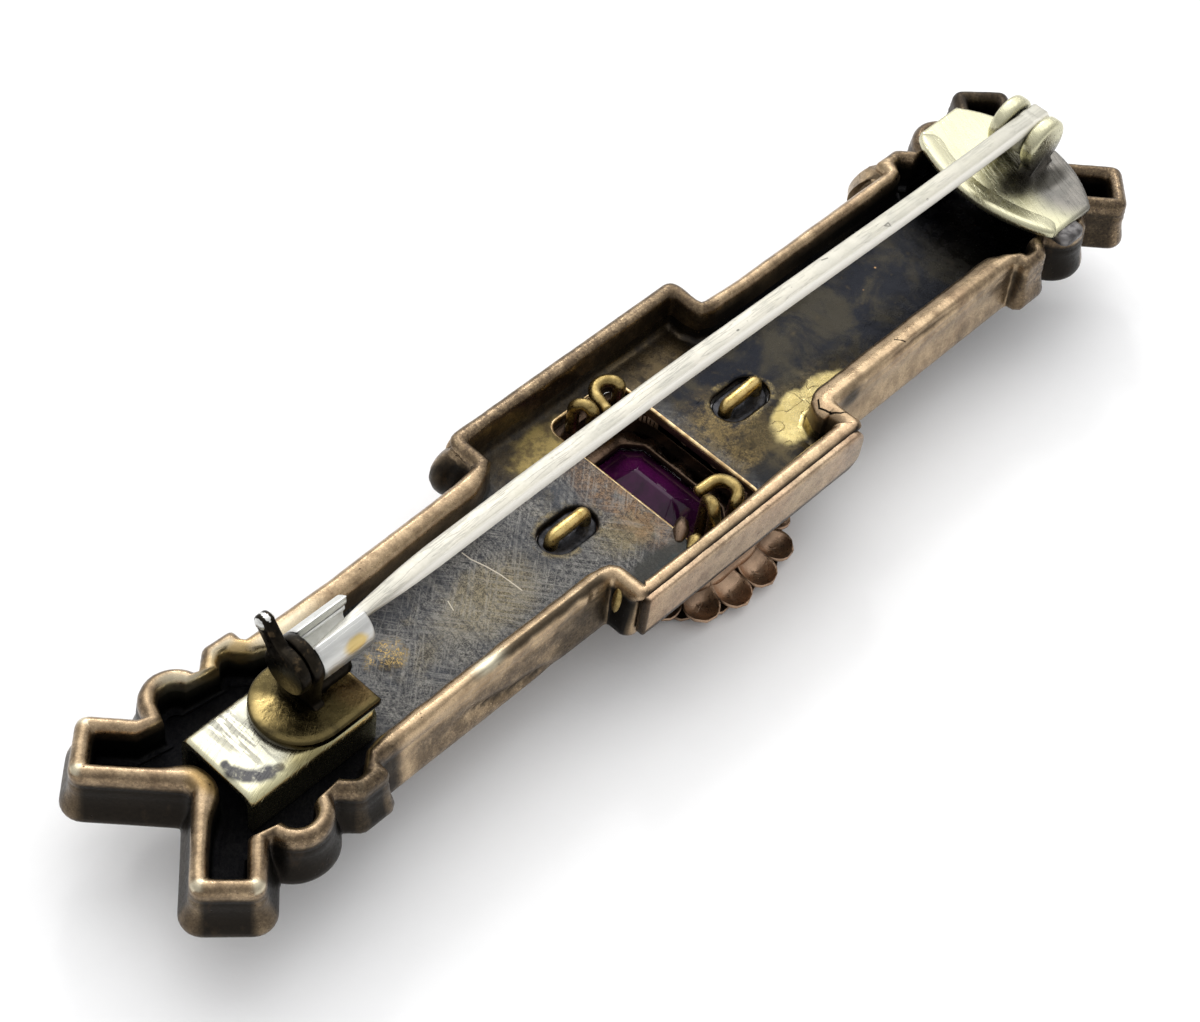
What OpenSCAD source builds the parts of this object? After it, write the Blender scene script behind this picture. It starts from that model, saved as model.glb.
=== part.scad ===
// Bar brooch lying face down, with its hollow back, hinge, pin and catch upward.
// X runs along the bar from the catch to the hinge, Y across it and Z up.
// The origin is under the middle of the centre block, on the surface that the petals rest on.

/* [Outline] */
// Length over the prong tips
overall_len = 56; // [54:0.5:58]
// Length of the centre block over its rim
block_len = 13.7; // [13:0.1:14.4]
// Width of the centre block over its rim
block_w = 10.7; // [10.4:0.1:11.2]
// Width of the two long bars over the rim
bar_w = 7.2; // [6.8:0.1:7.6]
// Width of the prongs at the forked ends
prong_w = 2.75; // [2.5:0.05:3]
// Angle of the prongs to the bar in degrees
prong_angle = 47; // [44:1:50]
// Radius of the round lobes beside the forks
lobe_r = 1.4; // [1.2:0.05:1.5]

/* [Tray] */
// Height of the tray from its front edge to its rim
tray_h = 2.85; // [2.7:0.05:3.2]
// Depth of the floor below the rim
floor_drop = 1.9; // [1.7:0.05:2]
// Thickness of the floor
floor_t = 0.55; // [0.4:0.05:0.7]
// Width of the folded rim band
rim_w = 0.7; // [0.6:0.05:0.8]
// Length of the window in the floor, along X
window_len = 3.9; // [3.6:0.1:4.2]
// Width of the window in the floor, along Y
window_w = 8.4; // [8:0.1:8.4]

/* [Setting and stone] */
// Height of the claw setting below the tray
setting_h = 3; // [2.8:0.1:3.4]
// Radius of the petals round the crown
petal_r = 0.77; // [0.7:0.01:0.78]
// Length of the stone at its girdle, along Y
stone_len = 6.1; // [5.8:0.1:6.3]
// Width of the stone at its girdle, along X
stone_w = 4.2; // [4:0.1:4.4]

/* [Pin and hinge] */
// Height of the hinge axis above the rim
hinge_up = 1.7; // [1.6:0.05:1.9]
// Radius of the two round knuckles
knuckle_r = 1.25; // [1.15:0.05:1.35]
// Width of the pin stem at the hinge
stem_w = 0.95; // [0.85:0.05:1.1]

/* [Catch] */
// Outer radius of the bright sleeve
sleeve_r = 1.1; // [1.05:0.05:1.2]
// Length of the bright sleeve
sleeve_len = 2.5; // [2.2:0.1:2.8]

/* [Hidden] */
$fn = 48;

// Clear gap between pieces of the same body
gap = 0.02;
// Clear gap between pieces that move on each other
run = 0.04;
// Overshoot of a cutting shape
over = 1;

// Heights above the surface that the brooch rests on
tray_z = setting_h;
rim_z = tray_z + tray_h;
floor_z = rim_z - floor_drop;
plate_z = floor_z - floor_t;

// Stations along the bar, as distances from the middle
half_len = overall_len / 2;
v_apex_x = half_len - 2.9;
v_edge_len = 4.24;
step_in_x = half_len - 8.7;
step_out_x = half_len - 6.5;
step_half_w = bar_w / 2 + 0.65;
step_cut = 0.8;
lobe_x = half_len - 5.1;
lobe_y = bar_w / 2 - 0.5;
head_half_w = bar_w / 2 - 0.4;
prong_start = -2.4;
block_corner_r = 0.6;
prong_corner_r = 0.5;
least_r = 0.12;

// The far long side stands this much further out than the near one
far_more = 0.3;

// The tray wall flares towards the front and stands back under the band, which has a low crown
band_h = 0.7;
crown_h = 0.12;
crown_back = 0.13;
wall_h = tray_h - crown_h - band_h;
function wall_layers() = [
    // height of the layer's top above the front edge, distance behind the rim's edge
    [0.7, -0.28],
    [1.3, -0.12],
    [wall_h, 0.05]];

// The block's walls stand further back, under a thin lip, and leave room for the side panels
block_wall_back = 0.1;
panel_seat = 0.4;
lip_h = 0.35;

// A rectangle with round corners, about the origin
module round_box(len, wid, r) {
    square([len - 2 * r, wid], center = true);
    square([len, wid - 2 * r], center = true);
    for (x = [-1, 1], y = [-1, 1])
        translate([x * (len / 2 - r), y * (wid / 2 - r)])
            circle(r);
}

// A slot with half round ends, about the origin
module slot_shape(len, wid) {
    square([len - wid, wid], center = true);
    for (x = [-1, 1])
        translate([x * (len - wid) / 2, 0])
            circle(wid / 2);
}

// One forked end's upper quarter, every edge moved inward by d
module end_quarter(d) {
    cut = d * tan(22.5);
    polygon([
        [step_in_x + d, 0],
        [step_in_x + d, step_half_w - d],
        [step_out_x - step_cut - cut, step_half_w - d],
        [step_out_x - d, step_half_w - step_cut - cut],
        [step_out_x - d, 0]]);
    translate([lobe_x, lobe_y])
        circle(lobe_r - d);
    neck_y = head_half_w - d;
    neck_x = v_apex_x + (neck_y * cos(prong_angle) - prong_w + d) / sin(prong_angle);
    polygon([
        [step_in_x + d, 0],
        [step_in_x + d, neck_y],
        [neck_x, neck_y],
        [v_apex_x - d / sin(prong_angle), 0]]);
    prong_run = v_edge_len - d - prong_start;
    translate([v_apex_x, 0])
        rotate(prong_angle)
            translate([prong_start + prong_run / 2, prong_w / 2])
                round_box(prong_run, prong_w - 2 * d, max(prong_corner_r - d, least_r));
}

// The bars with both forked ends, every edge moved inward by d
module bar_shape(d) {
    translate([0, far_more / 2])
        square([2 * (step_in_x + over), bar_w + far_more - 2 * d], center = true);
    for (flip_x = [0, 1])
        mirror([flip_x, 0]) {
            mirror([0, 1])
                end_quarter(d);
            translate([0, far_more])
                end_quarter(d);
            square([v_apex_x - d / sin(prong_angle), far_more]);
        }
}

// The centre block, its ends moved inward by d and its long sides by side_d
module block_shape(d, side_d) {
    translate([0, far_more / 2])
        round_box(block_len - 2 * d, block_w + far_more - 2 * side_d, max(block_corner_r - d, least_r));
}

// The whole outline seen from the back, every edge moved inward by d
module outline(d) {
    block_shape(d, d);
    bar_shape(d);
}

// Openings in the floor
slot_x = 5.3;
slot_y = 0.1;
slot_len = 2.9;
slot_w = 1.7;
window_y = 0.2;
window_corner_r = 0.5;

module tray() {
    color("#8f6e52")
        difference() {
            union() {
                for (layer = wall_layers())
                    translate([0, 0, tray_z])
                        linear_extrude(layer[0])
                            bar_shape(layer[1]);
                translate([0, 0, tray_z])
                    linear_extrude(tray_h - lip_h)
                        block_shape(block_wall_back, panel_seat);
                translate([0, 0, tray_z + wall_h])
                    linear_extrude(band_h)
                        bar_shape(0);
                translate([0, 0, rim_z - lip_h])
                    linear_extrude(lip_h - crown_h)
                        block_shape(0, 0);
                translate([0, 0, rim_z - crown_h])
                    linear_extrude(crown_h)
                        outline(crown_back);
            }
            translate([0, 0, floor_z])
                linear_extrude(floor_drop - crown_h)
                    outline(rim_w);
            translate([0, 0, rim_z - crown_h])
                linear_extrude(crown_h + over)
                    outline(rim_w - crown_back);
            translate([0, 0, tray_z - over])
                linear_extrude(plate_z - tray_z + over)
                    outline(rim_w);
            translate([0, 0, plate_z - over])
                linear_extrude(floor_t + 2 * over) {
                    translate([0, window_y])
                        round_box(window_len, window_w, window_corner_r);
                    for (side = [-1, 1])
                        translate([side * slot_x, slot_y])
                            slot_shape(slot_len, slot_w);
                }
        }
}

// Applied side panels of the block: one end square, the other round
panel_len = 13.35;
panel_t = 0.48;
panel_lift = 0.3;
panel_h = tray_h - lip_h - gap - panel_lift;
panel_end_r = 0.7;

module side_panel() {
    color("#9c7a5c")
        translate([-panel_len / 2, panel_seat - gap - block_w / 2, tray_z + panel_lift])
            rotate([90, 0, 0])
                linear_extrude(panel_t) {
                    square([panel_len - panel_end_r, panel_h]);
                    translate([0, panel_end_r])
                        square([panel_len, panel_h - 2 * panel_end_r]);
                    for (up = [panel_end_r, panel_h - panel_end_r])
                        translate([panel_len - panel_end_r, up])
                            circle(panel_end_r);
                }
}

module panel_near() {
    side_panel();
}

module panel_far() {
    translate([0, far_more])
        rotate(180)
            side_panel();
}

// Claw setting: a gallery wall under the window, a pierced seat for the stone, claws and petals
gallery_len = 6.6;
gallery_w = 9;
gallery_r = 2.2;
gallery_t = 0.45;
seat_z = 1.25;
seat_t = 0.35;
seat_hold = 0.12;
girdle_cut = 0.75;
slot_pitch = 1.7;
seat_slot_x = 2.55;
seat_slot_shift = 0.4;
seat_slot_len = 1.2;
seat_slot_w = 0.8;
port_r = 0.42;
port_z = 2.6;

// The petals stand on a line round the crown: straight runs joined by four quarter turns
crown_x = 0.35;
crown_run_x = 0.8;
crown_run_y = 2.1;
crown_turn_r = 3.1;
foot_t = 0.4;
foot_back = 0.55;
petal_rim_z = 0.85;
petal_ball_r = petal_r + 0.08;
petal_t = 0.17;
petal_tilt = 8;

// A rectangle with its corners cut off at 45 degrees
module cut_box(len, wid, cut) {
    x = len / 2;
    y = wid / 2;
    polygon([[x, y - cut], [x - cut, y], [cut - x, y], [-x, y - cut],
        [-x, cut - y], [cut - x, -y], [x - cut, -y], [x, cut - y]]);
}

// One petal: a small bowl, open upward, its rim a little lower on the outer side
module petal() {
    ball_z = sqrt(petal_ball_r * petal_ball_r - petal_r * petal_r);
    rotate([0, petal_tilt, 0])
        rotate_extrude()
            intersection() {
                translate([0, ball_z])
                    difference() {
                        circle(petal_ball_r);
                        circle(petal_ball_r - petal_t);
                    }
                translate([0, -petal_ball_r])
                    square([petal_r, petal_ball_r]);
            }
}

// Puts its child round the crown's line: along each long and short run, and at the given turns
module round_crown(long_spots, short_spots, turns) {
    for (side = [0, 180])
        rotate(side) {
            for (y = long_spots)
                translate([crown_run_x + crown_turn_r, y * crown_run_y])
                    children();
            for (x = short_spots)
                translate([x * crown_run_x, crown_run_y + crown_turn_r])
                    rotate(90)
                        children();
            for (turn = turns, flip = [0, 1])
                mirror([0, flip])
                    translate([crown_run_x, crown_run_y])
                        rotate(turn)
                            translate([crown_turn_r, 0])
                                children();
        }
}

// The area inside the crown's line, its edge moved inward by d
module crown_plate(d) {
    turn_r = crown_turn_r - d;
    round_box(2 * (crown_run_x + turn_r), 2 * (crown_run_y + turn_r), turn_r);
}

// The space inside the gallery wall, seen from above
module gallery_inside() {
    round_box(gallery_len - 2 * gallery_t, gallery_w - 2 * gallery_t, gallery_r - gallery_t);
}

// The crown: a scalloped foot, two rising steps and the petals that stand between its scallops
module crown() {
    step_h = 0.35;
    step_foot_z = petal_rim_z - 0.07;
    linear_extrude(foot_t)
        difference() {
            translate([crown_x, 0]) {
                crown_plate(foot_back);
                round_crown([-0.5, 0.5], [0], [15, 45, 75])
                    translate([-foot_back, 0])
                        circle(petal_r);
            }
            gallery_inside();
        }
    for (step = [1, 2])
        translate([0, 0, step_foot_z + (step - 1) * step_h])
            linear_extrude(step_h)
                difference() {
                    translate([crown_x, 0])
                        crown_plate(step * step_h);
                    gallery_inside();
                }
    translate([crown_x, 0, petal_rim_z])
        round_crown([-1, 0, 1], [-1, 1], [30, 60])
            petal();
}

module claw_setting() {
    claw_t = 0.34;
    claw_w = 0.6;
    claw_clear = 0.05;
    claw_foot_z = 0.42;
    claw_tip_h = 0.2;
    claw_tip_reach = 0.28;
    seat_slots = 4;
    color("#9a6a50") {
        difference() {
            union() {
                linear_extrude(plate_z - gap)
                    difference() {
                        round_box(gallery_len, gallery_w, gallery_r);
                        gallery_inside();
                    }
                translate([0, 0, seat_z])
                    linear_extrude(seat_t)
                        difference() {
                            round_box(gallery_len - gallery_t, gallery_w - gallery_t, gallery_r);
                            cut_box(stone_w - 2 * seat_hold, stone_len - 2 * seat_hold, girdle_cut);
                            for (side = [-1, 1], i = [0:seat_slots - 1])
                                translate([side * seat_slot_x,
                                    (i - (seat_slots - 1) / 2) * slot_pitch + seat_slot_shift])
                                    rotate(90)
                                        slot_shape(seat_slot_len, seat_slot_w);
                        }
            }
            for (i = [0:seat_slots - 1])
                translate([0, (i - (seat_slots - 1) / 2) * slot_pitch, port_z])
                    rotate([0, 90, 0])
                        cylinder(r = port_r, h = gallery_len + 2 * over, center = true);
        }
        for (side = [-1, 1], y = [-slot_pitch, 0, slot_pitch])
            translate([side * (stone_w / 2 + claw_clear), y, claw_foot_z]) {
                translate([side > 0 ? 0 : -claw_t, -claw_w / 2, 0])
                    cube([claw_t, claw_w, seat_z + seat_t / 2 - claw_foot_z]);
                translate([side > 0 ? -claw_tip_reach : -claw_t, -claw_w / 2, 0])
                    cube([claw_t + claw_tip_reach, claw_w, claw_tip_h]);
            }
        crown();
    }
}

// Emerald cut stone, keel upward: one row for each level, from the table to the keel
girdle_z = 1.05;
function stone_levels() = [
    // height, share of the width, share of the length, corner cut
    [0.35, 0.62, 0.74, 0.5],
    [0.68, 0.84, 0.89, 0.65],
    [girdle_z - 0.1, 1, 1, girdle_cut],
    [girdle_z, 1, 1, girdle_cut],
    [1.62, 0.74, 0.82, 0.58],
    [2.18, 0.4, 0.58, 0.34],
    [2.62, 0.03, 0.35, 0.02]];

function cut_ring(z, x, y, cut) = [
    [x, y - cut, z], [x - cut, y, z], [cut - x, y, z], [-x, y - cut, z],
    [-x, cut - y, z], [cut - x, -y, z], [x - cut, -y, z], [x, cut - y, z]];

module stone() {
    levels = stone_levels();
    sides = 8;
    last = len(levels) - 1;
    points = [for (level = levels)
        each cut_ring(level[0], level[1] * stone_w / 2, level[2] * stone_len / 2, level[3])];
    walls = [for (k = [0:last - 1], i = [0:sides - 1])
        [k * sides + i, (k + 1) * sides + i, (k + 1) * sides + (i + 1) % sides, k * sides + (i + 1) % sides]];
    table_face = [[for (i = [0:sides - 1]) i]];
    keel_face = [[for (i = [sides - 1:-1:0]) last * sides + i]];
    color("#4a1f4d")
        polyhedron(points, concat(walls, table_face, keel_face), convexity = 2);
}

// Brass wire staples through the oval slots, each on a plain stud on the hidden front
wire_r = 0.32;
staple_span = 1.9;
staple_rise = 0.3;
bend_r = 0.36;
stud_len = 2.9;
stud_w = 1.5;
stud_t = 0.8;

module staple() {
    top_z = floor_z + staple_rise;
    stud_top = plate_z - gap;
    leg_x = staple_span / 2;
    translate([0, slot_y, 0]) {
        for (side = [-1, 1]) {
            translate([side * leg_x, 0, stud_top - stud_t / 2])
                cylinder(r = wire_r, h = top_z - bend_r - stud_top + stud_t / 2);
            translate([side * (leg_x - bend_r), 0, top_z - bend_r])
                rotate([90, 0, 0])
                    rotate([0, 0, side > 0 ? 0 : 90])
                        rotate_extrude(angle = 90)
                            translate([bend_r, 0])
                                circle(wire_r);
        }
        translate([0, 0, top_z])
            rotate([0, 90, 0])
                cylinder(r = wire_r, h = staple_span - 2 * bend_r, center = true);
        translate([0, 0, stud_top - stud_t])
            linear_extrude(stud_t)
                slot_shape(stud_len, stud_w);
    }
}

module staple_left() {
    color("#b3923f")
        translate([-slot_x, 0, 0])
            staple();
}

module staple_right() {
    color("#b3923f")
        translate([slot_x, 0, 0])
            staple();
}

// Wire ties at the ends of the window: a flat hook with a tail and one leg down, and an upright loop
tie_r = 0.29;
tie_z = floor_z + 0.35;
hook_r = 0.65;
hook_arc = 165;
hook_tail = 0.75;
loop_r = 0.42;
far_tie_up = 0.4;
// Legs that end on the seat of the setting, or on top of its gallery wall
seat_leg = tie_z - seat_z - seat_t - gap;
wall_leg = tie_z + far_tie_up - plate_z;

// A bent wire lying flat: the arc starts at its leg, and the tail runs on from its end
module tie_hook(leg) {
    translate([0, 0, tie_z]) {
        rotate_extrude(angle = hook_arc)
            translate([hook_r, 0])
                circle(tie_r);
        translate([hook_r, 0, 0])
            sphere(1.04 * tie_r);
        translate([hook_r, 0, -leg])
            cylinder(r = tie_r, h = leg);
        rotate(hook_arc)
            translate([hook_r, 0, 0])
                rotate([-90, 0, 0])
                    cylinder(r = tie_r, h = hook_tail);
    }
}

// An upright arch of wire with two legs
module tie_loop(leg) {
    translate([0, 0, tie_z])
        rotate([90, 0, 0])
            rotate_extrude(angle = 180)
                translate([loop_r, 0])
                    circle(tie_r);
    for (side = [-1, 1])
        translate([side * loop_r, 0, tie_z - leg])
            cylinder(r = tie_r, h = leg);
}

module tie_near_hook() {
    color("#a8893c")
        translate([0.55, -3, 0])
            rotate(-80)
                tie_hook(seat_leg);
}

module tie_near_loop() {
    color("#a8893c")
        translate([-0.5, -3.3, 0])
            rotate(65)
                tie_loop(seat_leg);
}

module tie_far_hook() {
    color("#a8893c")
        translate([0.8, 3.6, far_tie_up])
            rotate(3)
                tie_hook(seat_leg + far_tie_up);
}

module tie_far_loop() {
    color("#a8893c")
        translate([-0.8, 3.6, far_tie_up])
            rotate(115)
                tie_loop(wall_leg);
}

// Hinge plate: a leaf between two unlike arcs with blunt ends, a rolled edge and two round knuckles
pin_y = 0.35;
hinge_x = half_len - 3.6;
hinge_z = rim_z + hinge_up;
leaf_near_y = -3.95;
leaf_far_y = 4.25;
leaf_out = [half_len - 1.95, 0.4, 6];
leaf_in = [half_len - 7.4, -0.2, 7.5];
leaf_t = 0.36;
roll_r = 0.26;
roll_from = -29;
roll_to = 35;
knuckle_t = 0.75;
eye_clear = 0.07;
rivet_r = 0.4;

// The leaf's outer and inner arc are given as the x and y of their middle and their radius
module hinge_plate() {
    leaf_z = rim_z + gap;
    foot_half = 0.8 * knuckle_r;
    knuckle_y = stem_w / 2 + eye_clear;
    color("#b9b8a8")
        difference() {
            union() {
                translate([0, 0, leaf_z])
                    linear_extrude(leaf_t)
                        intersection() {
                            translate([leaf_out[0] - leaf_out[2], leaf_out[1]])
                                circle(leaf_out[2], $fn = 96);
                            translate([leaf_in[0] + leaf_in[2], leaf_in[1]])
                                circle(leaf_in[2], $fn = 96);
                            translate([leaf_in[0] - over, leaf_near_y])
                                square([leaf_in[2], leaf_far_y - leaf_near_y]);
                        }
                translate([leaf_in[0] + leaf_in[2], leaf_in[1], leaf_z + roll_r])
                    rotate(180 - roll_to)
                        rotate_extrude(angle = roll_to - roll_from, $fn = 96)
                            translate([leaf_in[2], 0])
                                circle(roll_r, $fn = 24);
                for (side = [-1, 1])
                    translate([hinge_x, pin_y + side * (knuckle_y + knuckle_t / 2), 0]) {
                        translate([0, 0, hinge_z])
                            rotate([90, 0, 0])
                                cylinder(r = knuckle_r, h = knuckle_t, center = true);
                        translate([-foot_half, -knuckle_t / 2, leaf_z])
                            cube([2 * foot_half, knuckle_t, hinge_up - gap]);
                    }
            }
            translate([hinge_x, pin_y, hinge_z])
                rotate([90, 0, 0])
                    cylinder(r = rivet_r + gap, h = 2 * (knuckle_y + knuckle_t + over), center = true);
        }
}

module hinge_rivet() {
    color("#a5a494")
        translate([hinge_x, pin_y, hinge_z])
            rotate([90, 0, 0])
                cylinder(r = rivet_r, h = stem_w + 2 * (eye_clear + knuckle_t), center = true);
}

// Pin stem: a flat bar with a slight upward bow, an eye at the hinge and a point in the catch
eye_r = 0.98;
stem_axis_z = hinge_z + 0.6;
stem_h = 0.7;
stem_end_x = hinge_x + 0.88 * eye_r;
point_x = -(half_len - 8.95);
point_d = 0.16;
function stem_stations() = [
    // x, half width, half height, rise of the bow
    [point_x, point_d / 2, point_d / 2, 0],
    [-(half_len - 14), 0.48 * stem_w, 0.48 * stem_h, 0.3],
    [-(half_len - 20), stem_w / 2, stem_h / 2, 0.45],
    [0, stem_w / 2, stem_h / 2, 0.5],
    [half_len - 20, stem_w / 2, stem_h / 2, 0.3],
    [half_len - 12, stem_w / 2, stem_h / 2, 0.05],
    [stem_end_x, stem_w / 2, stem_h / 2, 0]];

// The stem's outline from above (side = 1) or from the side (side = 2)
module stem_outline(side) {
    rows = stem_stations();
    last = len(rows) - 1;
    lift = side - 1;
    polygon(concat(
        [for (row = rows) [row[0], lift * row[3] - row[side]]],
        [for (i = [last:-1:0]) [rows[i][0], lift * rows[i][3] + rows[i][side]]]));
}

module pin_stem() {
    color("#c6c4b4")
        translate([0, pin_y, 0])
            difference() {
                union() {
                    translate([0, 0, stem_axis_z])
                        intersection() {
                            linear_extrude(4 * stem_w, center = true)
                                stem_outline(1);
                            rotate([90, 0, 0])
                                linear_extrude(4 * stem_w, center = true)
                                    stem_outline(2);
                        }
                    translate([hinge_x, 0, hinge_z])
                        rotate([90, 0, 0])
                            cylinder(r = eye_r, h = stem_w, center = true);
                }
                translate([hinge_x, 0, hinge_z])
                    rotate([90, 0, 0])
                        cylinder(r = rivet_r + run, h = 2 * stem_w, center = true);
            }
}

// Catch: a bright strip across the tray, a brass pad, an upright cheek, a web and the sleeve
strip_end_x = -(half_len - 4.05);
strip_in_x = -(half_len - 10.1);
strip_y = -0.05;
strip_w = 3.9;
strip_t = 0.36;
strip_fold_t = 0.35;
strip_top_z = rim_z + 0.08;
pad_x = -(half_len - 8.05);
pad_r = 1.93;
pad_in_x = -(half_len - 10.3);
pad_t = 0.42;
sleeve_end_x = -(half_len - 11.1);
sleeve_y = pin_y;
sleeve_z = stem_axis_z;
bore_r = 0.72;
mouth_w = 0.9;
sleeve_wall = sleeve_r - bore_r;
cheek_t = 0.5;
axle_r = 0.3;
sleeve_start_x = sleeve_end_x - sleeve_len;

module catch_plate() {
    color("#c9c9bd")
        difference() {
            translate([strip_end_x, strip_y - strip_w / 2, floor_z + gap])
                cube([strip_in_x - strip_end_x, strip_w, strip_top_z - floor_z - gap]);
            translate([strip_end_x - over, strip_y - strip_w / 2 + strip_fold_t, floor_z - over])
                cube([strip_in_x - strip_end_x + 2 * over, strip_w - 2 * strip_fold_t,
                    strip_top_z - strip_t - floor_z + over]);
        }
}

module catch_body() {
    pad_z = strip_top_z + gap;
    web_w = 0.9;
    web_len = 1.7;
    difference() {
        union() {
            color("#8a7238")
                translate([0, 0, pad_z])
                    linear_extrude(pad_t) {
                        translate([pad_x, strip_y])
                            circle(pad_r);
                        translate([pad_x, strip_y - pad_r])
                            square([pad_in_x - pad_x, 2 * pad_r]);
                    }
            color("#5f4c2c") {
                translate([sleeve_start_x - cheek_t, sleeve_y - sleeve_r, pad_z])
                    cube([cheek_t, 2 * sleeve_r, sleeve_z - pad_z]);
                translate([sleeve_start_x - cheek_t, sleeve_y, sleeve_z])
                    rotate([0, 90, 0])
                        cylinder(r = sleeve_r, h = cheek_t);
                translate([sleeve_start_x, sleeve_y - web_w / 2, pad_z])
                    cube([web_len, web_w, sleeve_z - sleeve_r + sleeve_wall / 2 - pad_z]);
            }
            color("#d4d5d2")
                translate([sleeve_start_x, sleeve_y, sleeve_z])
                    rotate([0, 90, 0])
                        cylinder(r = sleeve_r, h = sleeve_len);
        }
        translate([sleeve_start_x, sleeve_y, sleeve_z])
            rotate([0, 90, 0])
                cylinder(r = bore_r, h = sleeve_len + over);
        translate([sleeve_start_x, sleeve_y - mouth_w / 2, sleeve_z])
            cube([sleeve_len + over, mouth_w, sleeve_r + over]);
        translate([sleeve_start_x - cheek_t - over, sleeve_y, sleeve_z])
            rotate([0, 90, 0])
                cylinder(r = axle_r + run, h = cheek_t + 2 * over);
    }
}

// Lever: an outer disc with the tongue, an axle in the cheek, and an inner shell that turns in the
// sleeve; the shell's mouth lies under the sleeve's mouth when the catch is open
lever_t = 0.5;
disc_back = 0.05;
tongue_reach = 2.4;
tongue_w = 0.75;
tongue_lean = 38;
shell_r = bore_r - run;
shell_t = 0.16;
shell_end_t = 0.12;
shell_short = 0.08;

module catch_lever() {
    cheek_x = sleeve_start_x - cheek_t;
    tongue_len = tongue_reach - tongue_w / 2;
    shell_len = sleeve_len - run - shell_short;
    color("#6f5a34") {
        translate([cheek_x - run - lever_t, sleeve_y, sleeve_z])
            rotate([-tongue_lean, 0, 0]) {
                rotate([0, 90, 0])
                    cylinder(r = sleeve_r - disc_back, h = lever_t);
                translate([0, -tongue_w / 2, 0])
                    cube([lever_t, tongue_w, tongue_len]);
                translate([0, 0, tongue_len])
                    rotate([0, 90, 0])
                        cylinder(r = tongue_w / 2, h = lever_t);
            }
        translate([cheek_x - run - lever_t / 2, sleeve_y, sleeve_z])
            rotate([0, 90, 0])
                cylinder(r = axle_r, h = lever_t / 2 + cheek_t + 2 * run + shell_end_t / 2);
    }
    color("#c3c4bd")
        translate([sleeve_start_x + run, sleeve_y, sleeve_z])
            difference() {
                rotate([0, 90, 0])
                    cylinder(r = shell_r, h = shell_len);
                translate([shell_end_t, 0, 0])
                    rotate([0, 90, 0])
                        cylinder(r = shell_r - shell_t, h = shell_len);
                translate([shell_end_t, -mouth_w / 2, 0])
                    cube([shell_len, mouth_w, shell_r + over]);
            }
}

tray();
panel_near();
panel_far();
claw_setting();
stone();
staple_left();
staple_right();
tie_near_hook();
tie_near_loop();
tie_far_hook();
tie_far_loop();
hinge_plate();
hinge_rivet();
pin_stem();
catch_plate();
catch_body();
catch_lever();
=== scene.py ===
import math

import bmesh
import bpy
import numpy as np
from mathutils import Matrix, Vector, geometry, kdtree, noise


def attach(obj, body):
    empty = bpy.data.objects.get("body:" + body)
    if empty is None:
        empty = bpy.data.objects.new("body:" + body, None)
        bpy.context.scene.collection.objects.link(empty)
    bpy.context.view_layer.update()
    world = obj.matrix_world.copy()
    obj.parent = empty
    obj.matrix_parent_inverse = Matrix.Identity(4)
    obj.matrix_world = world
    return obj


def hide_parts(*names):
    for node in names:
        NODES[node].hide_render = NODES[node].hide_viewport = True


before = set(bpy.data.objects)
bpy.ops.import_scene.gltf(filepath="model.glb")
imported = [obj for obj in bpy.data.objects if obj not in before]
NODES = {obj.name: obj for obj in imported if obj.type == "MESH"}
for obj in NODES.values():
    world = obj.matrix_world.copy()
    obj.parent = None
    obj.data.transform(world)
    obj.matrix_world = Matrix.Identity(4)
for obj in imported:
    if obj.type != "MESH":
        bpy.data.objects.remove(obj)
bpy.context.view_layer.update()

MM = 0.001
TAU = 2 * math.pi

# The named sizes of the source, in millimetres
BLOCK_LEN = 13.7
BLOCK_W = 10.7
BLOCK_R = 0.6
BAR_W = 7.2
PRONG_W = 2.75
PRONG_TURN = math.radians(47)
PRONG_R = 0.5
PRONG_START = -2.4
V_APEX_X = 25.1
V_EDGE = 4.24
STEP_IN = 19.3
STEP_OUT = 21.5
STEP_HALF = 4.25
STEP_CUT = 0.8
LOBE_X, LOBE_Y, LOBE_R = 22.9, 3.1, 1.4
HEAD_END, HEAD_HALF = 24.32, 3.2
TRAY_Z, RIM_Z, FLOOR_Z, PLATE_Z = 3.0, 5.85, 3.95, 3.4
WINDOW = (3.9, 8.4, 0.5, 0.0, 0.2)
SLOT_X, SLOT_Y, SLOT_L, SLOT_W = 5.3, 0.1, 2.9, 1.7
PIN_Y = 0.35
HINGE_X, HINGE_Z = 24.4, 7.55
STEM_Z = 8.15
SLEEVE_R = 1.1
STEM_W, EYE_R = 0.95, 0.98
KNUCKLE_R, KNUCKLE_W, HINGE_GAP, RIVET_R = 1.25, 0.75, 0.07, 0.4
SLEEVE_X0, SLEEVE_X1, CHEEK_X = -19.4, -16.9, -19.65
LEVER_X, LEVER_LEAN, TONGUE_REACH, TONGUE_HALF = -19.94, math.radians(38), 2.4, 0.375
# The sleeve's mouth and the lever's inner shell in it
MOUTH_HALF = 0.45
SLEEVE_IN, SHELL_OUT, SHELL_IN = 0.72, 0.675, 0.53
WIRE_R = 0.28
SEAT_LEG = 2.66


def show(name, data):
    """An object of the scene with this mesh, light or camera."""
    ob = bpy.data.objects.new(name, data)
    bpy.context.scene.collection.objects.link(ob)
    return ob


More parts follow.
